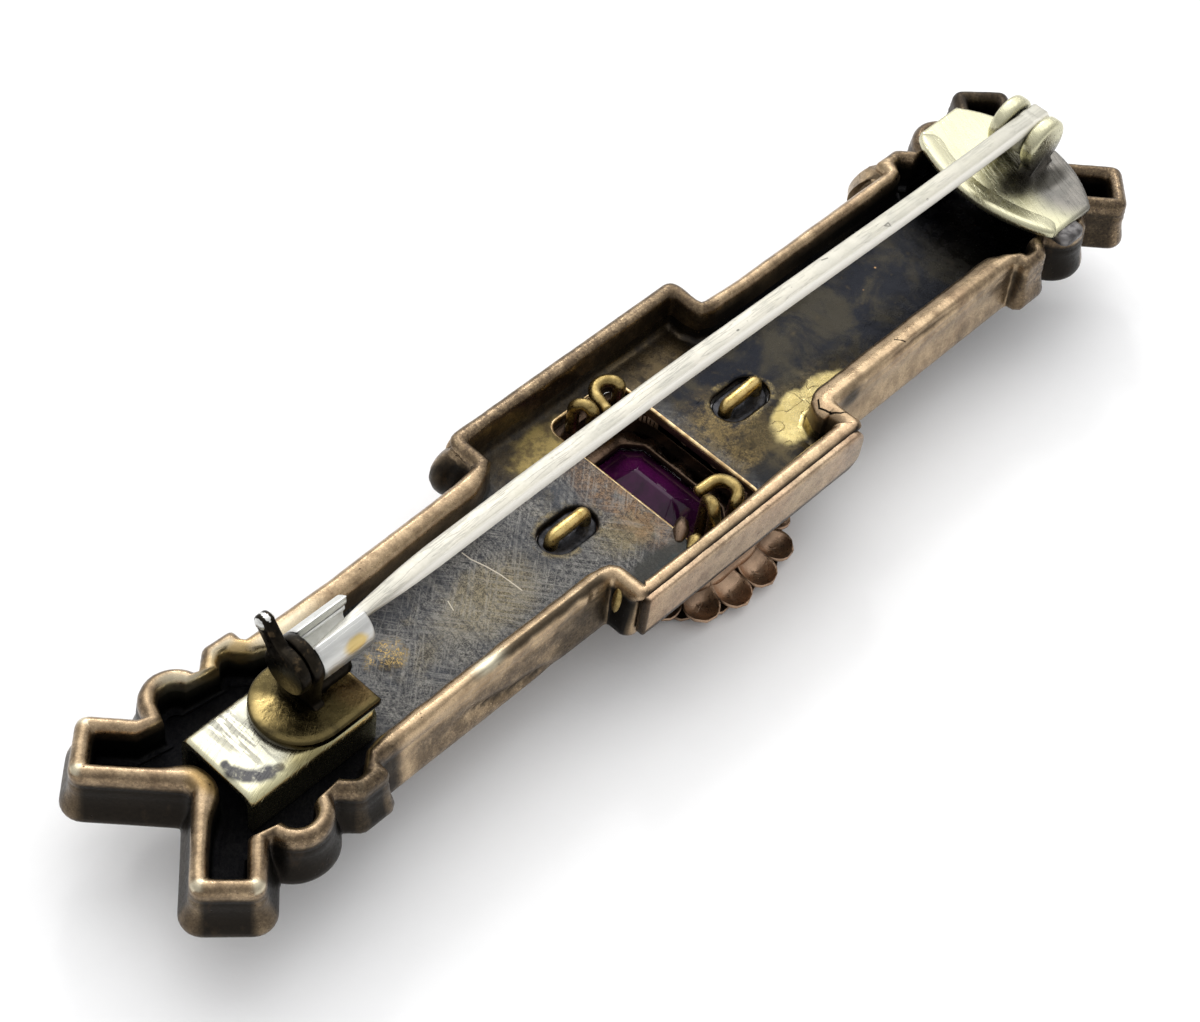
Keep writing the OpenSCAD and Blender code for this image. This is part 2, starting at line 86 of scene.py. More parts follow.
# ---------------------------------------------------------------- camera
def make_camera():
    """The photo's view: worked out from the long bars, the block's corners and the forks."""
    az, pitch, roll = math.radians(53.982), math.radians(50.45), math.radians(9.445)
    fwd = Vector((math.sin(az) * math.cos(pitch), math.cos(az) * math.cos(pitch), -math.sin(pitch)))
    right0 = Vector((math.cos(az), -math.sin(az), 0))
    up0 = right0.cross(fwd)
    right = right0 * math.cos(roll) + up0 * math.sin(roll)
    up = right.cross(fwd)
    data = bpy.data.cameras.new("camera")
    data.sensor_width = 36
    data.lens = 77.12
    data.clip_start = 0.005
    data.clip_end = 5
    cam = show("camera", data)
    m = Matrix((right, up, -fwd)).transposed().to_4x4()
    m.translation = Vector((-0.0571894, -0.0390594, 0.0841218))
    cam.matrix_world = m
    bpy.context.scene.camera = cam


make_camera()


# ---------------------------------------------------------------- mesh helpers
def add_mesh(name, verts, faces, face_mats, mats, slot, nodes=(), body="brooch"):
    """A mesh object from points in millimetres; it rides on a body and may stand for CAD nodes."""
    me = bpy.data.meshes.new(name)
    me.from_pydata([tuple(float(c) * MM for c in v) for v in verts], [], [tuple(f) for f in faces])
    for m in mats:
        me.materials.append(m)
    me.polygons.foreach_set("material_index", np.asarray(face_mats, np.int32))
    me.validate()
    me.update()
    bm = bmesh.new()
    bm.from_mesh(me)
    bmesh.ops.remove_doubles(bm, verts=bm.verts, dist=1e-7)
    bmesh.ops.dissolve_degenerate(bm, edges=bm.edges, dist=1e-8)
    bmesh.ops.recalc_face_normals(bm, faces=bm.faces)
    bm.to_mesh(me)
    bm.free()
    me.polygons.foreach_set("use_smooth", [True] * len(me.polygons))
    ob = show(name, me)
    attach(ob, body)
    if nodes:
        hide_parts(*nodes)
    return ob


class Build:
    """Collects points and faces of one piece, with a material number for each face."""

    def __init__(self):
        self.v, self.f, self.m = [], [], []

    def add(self, verts, faces, mat=0):
        base = len(self.v)
        self.v.extend([tuple(map(float, p)) for p in verts])
        self.f.extend([tuple(base + i for i in f) for f in faces])
        self.m.extend([mat] * len(faces) if isinstance(mat, int) else mat)

    def rings(self, rings, mat=0, wrap=False, ends=False):
        """A skin over rings with equally many points; their ends may be closed by one face each."""
        n = len(rings[0])
        faces = rings_to_faces(n, len(rings), wrap)
        if ends:
            faces += [tuple(range(n)), tuple(range(n * (len(rings) - 1), n * len(rings)))]
        self.add([p for ring in rings for p in ring], faces, mat)

    def cap(self, ring, mat=0, flip=False):
        """Triangles that close a ring which stands across X."""
        tris = geometry.tessellate_polygon([[Vector((v[1], v[2], 0)) for v in ring]])
        self.add(ring, [t[::-1] if flip else t for t in tris], mat)

    def place(self, turn, move, start):
        """Turns and moves everything added since the start."""
        self.v[start:] = [tuple(turn @ Vector(p) + Vector(move)) for p in self.v[start:]]

    def make(self, name, mats, **kw):
        return add_mesh(name, self.v, self.f, self.m, mats, **kw)


def rings_to_faces(n, k, wrap=False):
    """Quads between k rings of n points each."""
    out = []
    for j in range(k if wrap else k - 1):
        a, b = j * n, ((j + 1) % k) * n
        out += [(a + i, a + (i + 1) % n, b + (i + 1) % n, b + i) for i in range(n)]
    return out


def tree_of(points):
    """A search tree over points of the plane."""
    tree = kdtree.KDTree(len(points))
    for i, p in enumerate(points):
        tree.insert((p[0], p[1], 0), i)
    tree.balance()
    return tree


def arc(r, angles, cx=0.0, cy=0.0):
    """Points on a circle."""
    return [(cx + r * math.cos(a), cy + r * math.sin(a)) for a in angles]


def resample(pts, step, closed=True):
    """The same curve with evenly spaced points."""
    pts = np.asarray(pts, float)
    loop = np.vstack([pts, pts[:1]]) if closed else pts
    seg = np.linalg.norm(np.diff(loop, axis=0), axis=1)
    keep = np.concatenate([[True], seg > 1e-9])
    loop = loop[keep]
    seg = seg[seg > 1e-9]
    s = np.concatenate([[0], np.cumsum(seg)])
    n = max(8, int(round(s[-1] / step)))
    t = np.linspace(0, s[-1], n, endpoint=not closed)
    return np.column_stack([np.interp(t, s, loop[:, a]) for a in range(loop.shape[1])])


def normals2d(pts):
    """Outward normals of a counter-clockwise closed loop, lengthened at its corners."""
    nxt, prv = np.roll(pts, -1, 0), np.roll(pts, 1, 0)
    a, b = pts - prv, nxt - pts
    na = np.column_stack([a[:, 1], -a[:, 0]])
    nb = np.column_stack([b[:, 1], -b[:, 0]])
    na /= np.maximum(np.linalg.norm(na, axis=1, keepdims=True), 1e-9)
    nb /= np.maximum(np.linalg.norm(nb, axis=1, keepdims=True), 1e-9)
    m = na + nb
    m /= np.maximum(np.linalg.norm(m, axis=1, keepdims=True), 1e-9)
    return m / np.maximum((m * na).sum(1, keepdims=True), 0.6)


def ccw(loop):
    """The loop run counter-clockwise."""
    x, y = loop.T
    return loop if np.sum(x * np.roll(y, -1) - np.roll(x, -1) * y) >= 0 else loop[::-1]


def round_rect(lx, ly, r, cx=0.0, cy=0.0, per=8):
    """A rectangle with round corners, each of so many steps."""
    pts = []
    for qx, qy, a0 in ((1, 1, 0), (-1, 1, 90), (-1, -1, 180), (1, -1, 270)):
        pts += arc(r, np.radians(a0 + 90 * np.arange(per + 1) / per), cx + qx * (lx / 2 - r), cy + qy * (ly / 2 - r))
    return np.array(pts)


def plate(b, loop, stations, dome, rings, mat=0, wob=0.0, seed=0):
    """A plate with rounded edges: the loop is offset by each station's d at its height z, and its top is
    closed by shrinking rings that rise by dome."""
    n = len(loop)
    nrm = normals2d(loop)
    verts = [(x, y, z) for d, z in stations for x, y in loop + nrm * d]
    k = len(stations)
    top = np.array(verts[-n:])
    cen = top.mean(0)
    for j in range(1, rings + 1):
        f = 1 - j / (rings + 0.35)
        for p in top:
            verts.append((cen[0] + (p[0] - cen[0]) * f, cen[1] + (p[1] - cen[1]) * f, p[2] + dome * (1 - f * f)))
    faces = rings_to_faces(n, k + rings)
    last = (k + rings - 1) * n
    verts.append((cen[0], cen[1], cen[2] + dome))
    faces += [(last + i, last + (i + 1) % n, len(verts) - 1) for i in range(n)]
    faces.append(tuple(reversed(range(n))))
    if wob:
        verts = [(x, y, z + wob * noise.noise(Vector((x * 0.7 + seed, y * 0.7, z * 0.7)))) for x, y, z in verts]
    b.add(verts, faces, mat)


def tube(b, path, radius, sides=20, mat=0, round_ends=True, flat=1.0):
    """A round wire along a path; the radius may be one number or one for each point."""
    path = [Vector(p) for p in path]
    radii = list(radius) if hasattr(radius, "__len__") else [radius] * len(path)
    if round_ends:
        r0, r1 = radii[0], radii[-1]
        d0 = (path[0] - path[1]).normalized()
        d1 = (path[-1] - path[-2]).normalized()
        caps = [(0.98, 0.2), (0.85, 0.53), (0.6, 0.8), (0.25, 0.97)]
        head = [(path[0] + d0 * r0 * s * 0.6, r0 * c) for c, s in reversed(caps)]
        tail = [(path[-1] + d1 * r1 * s * 0.6, r1 * c) for c, s in caps]
        path = [p for p, _ in head] + path + [p for p, _ in tail]
        radii = [r for _, r in head] + radii + [r for _, r in tail]
    tan = []
    for i in range(len(path)):
        a, c = path[max(i - 1, 0)], path[min(i + 1, len(path) - 1)]
        tan.append((c - a).normalized())
    up = Vector((0, 0, 1)) if abs(tan[0].z) < 0.9 else Vector((0, 1, 0))
    side = tan[0].cross(up).normalized()
    verts = []
    for p, t, r in zip(path, tan, radii):
        side = (side - t * side.dot(t)).normalized()
        other = t.cross(side)
        verts.append([p + side * u + other * (v * flat) for u, v in arc(r, TAU * np.arange(sides) / sides)])
    b.rings(verts, mat, ends=True)


def smooth_path(points, step=0.06):
    """A Catmull-Rom curve through the points, evenly resampled."""
    p = [Vector(q) for q in points]
    p = [p[0] * 2 - p[1]] + p + [p[-1] * 2 - p[-2]]
    out = []
    for i in range(1, len(p) - 2):
        a, b, c, d = p[i - 1:i + 3]
        for t in np.arange(12) / 12:
            out.append(0.5 * (2 * b + (c - a) * t + (2 * a - 5 * b + 4 * c - d) * t * t
                              + (3 * b - a - 3 * c + d) * t * t * t))
    out.append(p[-2])
    return [Vector(q) for q in resample([tuple(q) for q in out], step, closed=False)]


def in_loop(pts, loop):
    """Which points lie inside a closed loop."""
    x, y = pts[:, 0][:, None], pts[:, 1][:, None]
    x0, y0 = loop[:, 0][None], loop[:, 1][None]
    x1, y1 = np.roll(loop[:, 0], -1)[None], np.roll(loop[:, 1], -1)[None]
    cross = ((y0 > y) != (y1 > y)) & (x < (x1 - x0) * (y - y0) / np.where(y1 == y0, 1e-12, y1 - y0) + x0)
    return cross.sum(1) % 2 == 1


def between(pts, loops):
    """Which points lie inside the first loop and outside the others."""
    ok = in_loop(pts, loops[0])
    for h in loops[1:]:
        ok &= ~in_loop(pts, h)
    return ok


def fill(outer, holes, grid):
    """Triangles between an outer loop and holes, with a grid of inner points."""
    loops = [np.asarray(outer)] + [np.asarray(h) for h in holes]
    pts = [Vector(p) for lp in loops for p in lp]
    edges, base = [], 0
    for lp in loops:
        n = len(lp)
        edges += [(base + i, base + (i + 1) % n) for i in range(n)]
        base += n
    lo, hi = loops[0].min(0), loops[0].max(0)
    gx, gy = np.arange(lo[0], hi[0], grid), np.arange(lo[1], hi[1], grid)
    g = np.array([(x + (j % 2) * grid / 2, y) for j, y in enumerate(gy) for x in gx])
    g = g[between(g, loops)]
    tree = tree_of(pts)
    pts += [Vector(p) for p in g if tree.find((p[0], p[1], 0))[2] > 0.12]
    vs, _, fs, *_ = geometry.delaunay_2d_cdt(pts, edges, [], 0, 1e-6)
    vs = np.array([tuple(v) for v in vs])
    fs = np.array([f for f in fs])
    return vs, [tuple(int(i) for i in f) for f in fs[between(vs[fs].mean(1), loops)]]


def at_height(loop, z):
    """The points of a plane loop as points of space."""
    return [(x, y, z) for x, y in loop]


def pierced(b, outer, holes, z0, z1, grid):
    """A flat plate with holes and softened edges."""
    edge = 0.05
    loops = [ccw(lp) for lp in [outer] + holes]
    inset = [lp + normals2d(lp) * (-edge if lp is loops[0] else edge) for lp in loops]
    for z, zz in ((z1, z1 - edge), (z0, z0 + edge)):
        vs, fs = fill(inset[0], inset[1:], grid)
        b.add(at_height(vs, z), fs if z == z1 else [f[::-1] for f in fs])
        for lp, ins in zip(loops, inset):
            b.rings([at_height(ins, z), at_height(lp, zz)])
    for lp in loops:
        b.rings([at_height(lp, z0 + edge), at_height(lp, z1 - edge)])


# ---------------------------------------------------------------- materials
class Val:
    """A node's output, which takes part in sums and products."""

    def __init__(self, mat, socket):
        self.mat, self.socket = mat, socket

    def __add__(self, other):
        return self.mat.math("ADD", self, other)

    def __sub__(self, other):
        return self.mat.math("SUBTRACT", self, other)

    def __rsub__(self, other):
        return self.mat.math("SUBTRACT", other, self)

    def __mul__(self, other):
        return self.mat.math("MULTIPLY", self, other)

    def __rmul__(self, other):
        return self.mat.math("MULTIPLY", other, self)

    def __abs__(self):
        return self.mat.math("ABSOLUTE", self)


def most(a, b):
    return a.mat.math("MAXIMUM", a, b)


def blend(fac, a, b):
    """A number between a and b."""
    return b * fac + a * (1.0 - fac)


def set_stops(ramp, stops):
    """The colours of a ramp: its two ends first, then those between."""
    el = ramp.color_ramp.elements
    for k, (pos, rgb) in enumerate(stops):
        stop = el[k] if k < 2 else el.new(pos)
        stop.position, stop.color = pos, tuple(rgb) + (1,)


class Mat:
    """A small way to write node materials. Texture space is in millimetres of the CAD frame."""

    def __init__(self, name):
        self.m = bpy.data.materials.new(name)
        self.m.use_nodes = True
        self.t = self.m.node_tree
        self.t.nodes.clear()
        self.bsdf = self.node("BsdfPrincipled")
        self.t.links.new(self.bsdf.outputs[0], self.node("OutputMaterial").inputs[0])
        self.co = self.vec("SCALE", Val(self, self.node("TexCoord").outputs["Object"]), scale=1000.0)
        self.col = self.height = None

    def node(self, kind, inputs=(), **settings):
        """A new node with its settings, and with its inputs by name or number."""
        n = self.t.nodes.new("ShaderNode" + kind)
        for key, val in settings.items():
            setattr(n, key, val)
        for key, val in dict(inputs).items():
            self.put(n, key, val)
        return n

    def put(self, node, key, val):
        s = node.inputs[key]
        if isinstance(val, Val):
            self.t.links.new(val.socket, s)
        elif hasattr(val, "__len__"):
            s.default_value = tuple(val) + (1,) * (len(s.default_value) - len(val))
        elif val is not None:
            s.default_value = val

    def vec(self, op, a, b=None, scale=None):
        n = self.node("VectorMath", {0: a, 1: b}, operation=op)
        if scale is not None:
            self.put(n, "Scale", scale)
        return Val(self, n.outputs["Value" if op in ("LENGTH", "DOT_PRODUCT") else "Vector"])

    def axes(self):
        return [Val(self, s) for s in self.node("SeparateXYZ", {0: self.co}).outputs]

    def math(self, op, a, b=None, clamp=False):
        return Val(self, self.node("Math", {0: a, 1: b}, operation=op, use_clamp=clamp).outputs[0])

    def noise(self, scale, detail=4.0, rough=0.55, co=None, stretch=None, distort=0.0, seed=0.0):
        co = co or self.co
        if stretch:
            co = self.vec("MULTIPLY", co, stretch)
        n = self.node("TexNoise", {"Vector": co, "Scale": scale, "Detail": detail, "Roughness": rough,
                                   "Distortion": distort}, noise_dimensions="4D" if seed else "3D")
        if seed:
            n.inputs["W"].default_value = seed
        return Val(self, n.outputs["Fac"])

    def cells(self, scale):
        return Val(self, self.node("TexVoronoi", {"Vector": self.co, "Scale": scale}).outputs["Distance"])

    def ramp(self, fac, lo, hi, a=0.0, b=1.0):
        """A smooth step from a to b while fac runs from lo to hi."""
        n = self.node("MapRange", {"Value": fac, "From Min": lo, "From Max": hi, "To Min": a, "To Max": b},
                      interpolation_type="SMOOTHSTEP")
        return Val(self, n.outputs[0])

    def mix(self, fac, a, b):
        return Val(self, self.node("Mix", {0: fac, 6: a, 7: b}, data_type="RGBA", clamp_factor=True).outputs[2])

    def tones(self, fac, lo, hi, a, b):
        """Colour a where fac is under lo, b where it is over hi."""
        return self.mix(self.ramp(fac, lo, hi), a, b)

    def coat(self, fac, colour):
        """Another colour over what is there."""
        self.col = self.mix(fac, self.col, colour)

    def wander(self, amount, scale, detail):
        """Texture space pushed about by slow noise."""
        w = self.node("TexNoise", {"Vector": self.co, "Scale": scale, "Detail": detail})
        shift = self.vec("SUBTRACT", Val(self, w.outputs["Color"]), (0.5, 0.5, 0.5))
        return self.vec("ADD", self.co, self.vec("SCALE", shift, scale=amount))

    def spot(self, center, size, soft, wobble):
        """1 inside an ellipsoid about a point, falling softly to 0 outside it."""
        c = self.wander(wobble, 0.9, 4)
        d = self.vec("LENGTH", self.vec("DIVIDE", self.vec("SUBTRACT", c, center), size))
        return self.ramp(d, 1 - soft, 1 + soft, 1.0, 0.0)

    def paint(self, name):
        """A value written on the mesh's points."""
        return Val(self, self.node("Attribute", attribute_name=name).outputs["Fac"])

    def line(self, points, width, wobble=0.0):
        """1 on a thin line through points of the plane, 0 away from it."""
        c = self.wander(wobble, 1.3, 2) if wobble else self.co
        c = self.vec("MULTIPLY", c, (1, 1, 0))
        best = None
        for (x0, y0), (x1, y1) in zip(points, points[1:]):
            run = (x1 - x0, y1 - y0, 0)
            rel = self.vec("SUBTRACT", c, (x0, y0, 0))
            t = self.math("DIVIDE", self.vec("DOT_PRODUCT", rel, run), run[0] ** 2 + run[1] ** 2, clamp=True)
            d = self.vec("LENGTH", self.vec("SUBTRACT", rel, self.vec("SCALE", run, scale=t)))
            best = self.math("MINIMUM", best, d) if best else d
        return self.ramp(best, width * 0.4, width, 1.0, 0.0)

    def cavity(self, distance, lo, hi):
        """1 in crevices, 0 on open surfaces."""
        n = self.node("AmbientOcclusion", {"Distance": distance * MM}, samples=6)
        return self.ramp(Val(self, n.outputs["AO"]), lo, hi, 1.0, 0.0)

    def bump(self, height, dist):
        n = self.node("Bump", {"Distance": dist * MM, "Strength": 1.0, "Height": height, "Normal": self.height})
        self.height = Val(self, n.outputs[0])

    def done(self, rough, metal, **extra):
        looks = {"Base Color": self.col, "Roughness": rough, "Metallic": metal, "Normal": self.height}
        looks.update({k.replace("_", " "): v for k, v in extra.items()})
        for key, val in looks.items():
            self.put(self.bsdf, key, val)
        return self.m


def scratches(m, angle, scale, thin, cover, seed):
    """Fine scratches along one direction: stretched noise kept only near one level."""
    c, s = math.cos(math.radians(angle)), math.sin(math.radians(angle))
    x, y, z = m.axes()
    u = x * c + y * s
    v = y * c - x * s
    n = m.node("CombineXYZ", {0: u * 0.06, 1: v, 2: z * 0.3})
    f = m.noise(scale, 2, 0.5, co=Val(m, n.outputs[0]), seed=seed + 0.1)
    line = m.ramp(abs(f - 0.5), 0.0, thin, 1.0, 0.0)
    return line * m.ramp(m.noise(0.5, 3, seed=seed + 7.3), 1 - cover, 1.05 - cover + 0.1)


def gilt(name, light, dark, patina, warm, painted=False):
    """Worn rose gilt: warm metal, brown patina in patches and crevices, fine pits and dull streaks. When painted, it
    also takes the painted shade and patina, the wear and painted highlights written on the mesh, and painted glints.
    """
    m = Mat(name)
    big = m.noise(0.3, 4, 0.55, distort=0.4)
    mid = m.noise(1.3, 6, 0.62, seed=2.0)
    fine = m.noise(8, 5, 0.7, seed=3.0)
    tone = m.tones(mid, 0.38, 0.68, light, dark)
    tone = m.mix(m.ramp(big, 0.45, 0.75, 0, warm), tone, (0.50, 0.30, 0.19))
    crev = m.cavity(0.6, 0.2, 0.85)
    patch = m.ramp(mid * 0.6 + fine * 0.4, 0.62 - 0.12 * patina,
                   0.76 - 0.12 * patina)
    dirt = most(patch * 0.6, crev * 0.85)
    pits = m.ramp(m.cells(3.1), 0.0, 0.15, 1.0, 0.0)
    pits = pits * m.ramp(m.noise(0.7, 2, seed=5.0), 0.5, 0.6)
    if painted:
        # painted shade with some patina: the mesh's dark values, coated below in near-black brown streaks
        shade_and_patina = m.paint("dark")
        shade_and_patina = shade_and_patina * m.ramp(mid + shade_and_patina * 0.8, 0.55, 0.95, 0.55, 1.0)
        streak = m.ramp(m.noise(1.6, 5, 0.6, stretch=(1, 1, 0.5), seed=11.0), 0.55, 0.75, 0, 0.5)
        brown = m.mix(streak, (0.013, 0.011, 0.009), (0.06, 0.04, 0.024))
        dirt = most(dirt, pits * 0.85)
        m.col = m.mix(dirt, tone, (0.06, 0.042, 0.03))
        blot = mid * 0.7 + fine * 0.3
        aged = m.paint("brown") * m.ramp(blot + m.paint("brown") * 0.3, 0.5, 0.85, 0.25, 1.0)
        m.coat(aged, m.tones(fine, 0.4, 0.65, (0.142, 0.103, 0.062), (0.066, 0.048, 0.035)))
        grain = m.ramp(m.noise(15, 3, 0.85, seed=19.0), 0.46, 0.6)
        m.coat(grain * 0.32, (0.13, 0.09, 0.06))
        glint = m.ramp(m.noise(11, 4, 0.8, seed=23.0), 0.57, 0.66) * m.ramp(mid, 0.6, 0.45)
        m.coat(glint * 0.45, (0.90, 0.70, 0.45))
        m.coat(shade_and_patina, brown)
        # wear and painted highlights: pale gold on worn spots and on edges painted as catching the light
        m.coat(m.paint("worn") * 0.9, (0.95, 0.88, 0.66))
        # the dirt mask also takes the painted shade here, which makes those parts rougher and a little less metallic
        dirt = most(dirt, shade_and_patina)
    else:
        dirt = most(dirt, pits * 0.85)
        m.col = m.mix(dirt, tone, (0.055, 0.038, 0.028))
    rough = m.ramp(fine, 0.3, 0.75, 0.24, 0.42) + dirt * 0.12
    m.bump(fine * 0.35 + mid - pits * 1.2, 0.022)
    return m, rough, dirt


def mat_rim():
    m, rough, dirt = gilt("gilt_rim", (0.60, 0.445, 0.275), (0.42, 0.30, 0.18), 0.3, 0.3, True)
    crack = m.line([(6.3, -2.98), (6.02, -3.3), (6.12, -3.75), (6.4, -4.15), (6.85, -4.4)], 0.042, 0.16)
    nick = m.line([(11.35, -3.0), (11.62, -3.38)], 0.045)
    m.coat(most(crack, nick), (0.01, 0.008, 0.006))
    m.bump(crack * -1.0, 0.05)
    web = m.spot((-24.5, 0.1, 5.6), (0.55, 0.9, 0.5), 0.35, 0.5)
    # painted highlight: a golden sheen on the far inner rim at the catch end
    far = m.spot((-20.2, 3.5, 5.5), (1.3, 0.5, 0.5), 0.4, 0.6)
    m.coat(far * 0.7, (0.52, 0.35, 0.12))
    m.coat(web * 0.8, m.mix(m.paint("worn"), (0.24, 0.155, 0.055), (0.4, 0.27, 0.1)))
    return m.done(rough, m.ramp(dirt, 0, 1, 1.0, 0.95))


def mat_panel():
    m, rough, dirt = gilt("gilt_panel", (0.55, 0.415, 0.275), (0.34, 0.245, 0.16), 0.6, 0.3)
    grain = m.ramp(m.noise(14, 3, 0.8, seed=17.0), 0.45, 0.6)
    m.coat(grain * 0.45, (0.14, 0.10, 0.07))
    x, y, z = m.axes()
    near = m.ramp(y, 1, -1)
    # painted shade: dark along the top edge of the far panel, under the band, and along the left and bottom edges of
    # the near panel
    seam_and_edge_shade = most(m.ramp(z, 5.35, 5.44) * (1.0 - near), near * most(m.ramp(x, -6.5, -6.63), m.ramp(z, 3.85, 3.68)))
    m.coat(seam_and_edge_shade * 0.85, (0.02, 0.014, 0.01))
    return m.done(rough, m.ramp(dirt, 0, 1, 1.0, 0.75))


def mat_setting():
    m, rough, dirt = gilt("gilt_setting", (0.53, 0.36, 0.24), (0.30, 0.20, 0.135), 0.6, 0.5)
    x, y, _ = m.axes()
    # painted shade: darker inside the gallery, under the tray
    inside = m.ramp(abs(x), 3.4, 2.9) * m.ramp(abs(y), 4.6, 4.1)
    m.coat(inside * 0.75, (0.03, 0.02, 0.015))
    return m.done(rough, m.ramp(dirt, 0, 1, 0.95, 0.6))


def mat_floor():
    """The tray's floor: dull scratched grey patina towards the catch, glossy dark stains and bare gold
    towards the hinge."""
    m = Mat("tray_floor")

    def patch(cx, cy, rx, ry, soft, wobble):
        """A patch of the floor with a soft, uneven edge."""
        return m.spot((cx, cy, FLOOR_Z), (rx, ry, 2), soft, wobble)

    x, y, _ = m.axes()
    side = m.ramp(x + m.noise(0.5, 4) * 3.0, 2.4, 4.4)
    big = m.noise(0.42, 6, 0.62, distort=0.6)
    mid = m.noise(1.6, 8, 0.7, seed=1.0)
    fine = m.noise(9.0, 7, 0.8, seed=2.0)
    grain = m.noise(16.0, 3, 0.8, seed=12.0)
    speck = fine * 0.6 + grain * 0.4
    # grey side
    m.col = m.tones(speck, 0.42, 0.56, (0.20, 0.193, 0.175), (0.026, 0.026, 0.03))
    m.coat(m.ramp(mid, 0.5, 0.62) * 0.62, (0.028, 0.03, 0.037))
    cool = m.ramp(m.noise(0.7, 5, 0.6, seed=9.0), 0.42, 0.62)
    m.coat(cool * 0.5, (0.045, 0.05, 0.062))
    gold_haze = most(patch(-10.0, -0.3, 2.2, 1.3, 0.5, 1.6), patch(-3.6, -1.7, 1.3, 1.0, 0.5, 1.2))
    gold_haze = most(gold_haze, m.ramp(big, 0.52, 0.72) * 0.5)
    warm = m.tones(speck, 0.42, 0.58, (0.28, 0.225, 0.12), (0.06, 0.05, 0.03))
    m.coat(gold_haze * 0.75, warm)
    rust = patch(-2.2, -0.6, 1.5, 2.9, 0.5, 1.6) * m.ramp(mid, 0.35, 0.6)
    m.coat(rust * 0.8, m.tones(speck, 0.42, 0.58, (0.33, 0.19, 0.09), (0.07, 0.045, 0.03)))
    pale = patch(-11.6, -0.6, 1.7, 1.4, 0.5, 1.4)
    m.coat(pale * 0.2, m.tones(speck, 0.45, 0.6, (0.36, 0.33, 0.26), (0.10, 0.095, 0.08)))
    flecks = m.ramp(speck, 0.48, 0.54) * most(patch(-15.05, 0.45, 0.8, 0.5, 0.5, 1.6),
                                              patch(-3.4, -1.8, 1.0, 0.6, 0.5, 1.4) * 0.12)
    m.coat(patch(-15.25, 0.1, 0.42, 0.3, 0.5, 0.4) * 0.85, (0.02, 0.017, 0.014))
    flecks = flecks * m.ramp(m.noise(1.9, 4, 0.7, seed=27.0), 0.42, 0.52, 0.0, 0.8)
    m.coat(flecks, (0.72, 0.50, 0.17))
    thin = scratches(m, 10, 2.0, 0.008, 0.4, 1.0)
    cross = most(scratches(m, -52, 3.4, 0.06, 0.62, 4.0), scratches(m, 38, 3.8, 0.05, 0.62, 8.0))
    m.coat(most(thin * 0.5, cross * 0.26), (0.4, 0.385, 0.35))
    m.coat(scratches(m, 78, 3.3, 0.07, 0.6, 6.0) * 0.4, (0.012, 0.013, 0.018))
    hair = m.line([(-9.31, 2.08), (-9.28, 1.6), (-9.1, 1.0), (-8.95, 0.3), (-8.86, -0.81)], 0.036)
    hair = most(hair, m.line([(-11.4, 0.75), (-11.55, 0.3)], 0.03))
    m.coat(hair * 0.8, (0.62, 0.56, 0.45))
    # dark side
    grey = m.col
    m.col = m.tones(big, 0.42, 0.62, (0.004, 0.005, 0.009), (0.028, 0.024, 0.016))
    m.coat(m.ramp(mid, 0.58, 0.76), (0.07, 0.052, 0.03))
    umber = patch(3.6, -1.2, 1.9, 2.3, 0.45, 1.6) * m.ramp(mid, 0.36, 0.56)
    m.coat(umber * 0.75, m.tones(speck, 0.42, 0.58, (0.22, 0.155, 0.06), (0.05, 0.036, 0.016)))
    soot = patch(3.6, -3.3, 1.5, 0.8, 0.3, 1.2)
    m.coat(soot * 0.9, (0.008, 0.009, 0.011))
    dots = m.ramp(m.cells(1.1), 0.0, 0.09, 1.0, 0.0) * m.ramp(m.noise(0.9, 2, seed=21.0), 0.5, 0.56)
    m.coat(dots, (0.45, 0.26, 0.12))
    m.col = m.mix(side, grey, m.col)
    bare = patch(7.5, -2.45, 2.75, 1.25, 0.12, 1.1)
    halo = patch(7.3, -2.7, 3.6, 1.9, 0.4, 1.6)
    m.coat(halo * 0.7, m.tones(mid, 0.42, 0.6, (0.12, 0.09, 0.04), (0.02, 0.017, 0.012)))
    curl = m.noise(1.3, 1.5, 0.4, seed=31.0)
    curl = m.ramp(abs(curl - 0.5), 0.0, 0.012, 1.0, 0.0)
    gold = m.tones(mid, 0.4, 0.65, (0.66, 0.54, 0.25), (0.48, 0.38, 0.15))
    gold = m.mix(patch(6.9, -3.4, 1.3, 0.55, 0.5, 0.6) * 0.75, gold, (0.22, 0.17, 0.06))
    gold = m.mix(curl * 0.35, gold, (0.2, 0.15, 0.07))
    m.coat(bare, gold)
    # golden olive along the far wall of the block
    far = m.ramp(y, 1.9, 3.4) * m.ramp(abs(x), 5.4, 7.0, 1.0, 0.0)
    m.coat(far * 0.85, m.tones(mid, 0.4, 0.65, (0.075, 0.052, 0.022), (0.016, 0.011, 0.006)))
    olive = patch(-2.9, 3.9, 1.9, 0.9, 0.25, 1.4)
    m.coat(olive * 0.85, m.tones(mid, 0.42, 0.62, (0.40, 0.30, 0.10), (0.14, 0.10, 0.04)))
    # golden burrs round the two slots
    sx = most(abs(abs(x) - SLOT_X) - 0.6, 0.0)
    sy = y - SLOT_Y
    ring = m.math("SQRT", sx * sx + sy * sy)
    burr = m.ramp(abs(ring - (mid * 0.5 + 0.72)), 0.03, 0.24, 1.0, 0.0)
    burr = burr * m.ramp(m.noise(0.9, 3, seed=41.0), 0.46, 0.6)
    m.coat(burr * 0.6, m.tones(fine, 0.42, 0.6, (0.34, 0.26, 0.11), (0.06, 0.048, 0.03)))
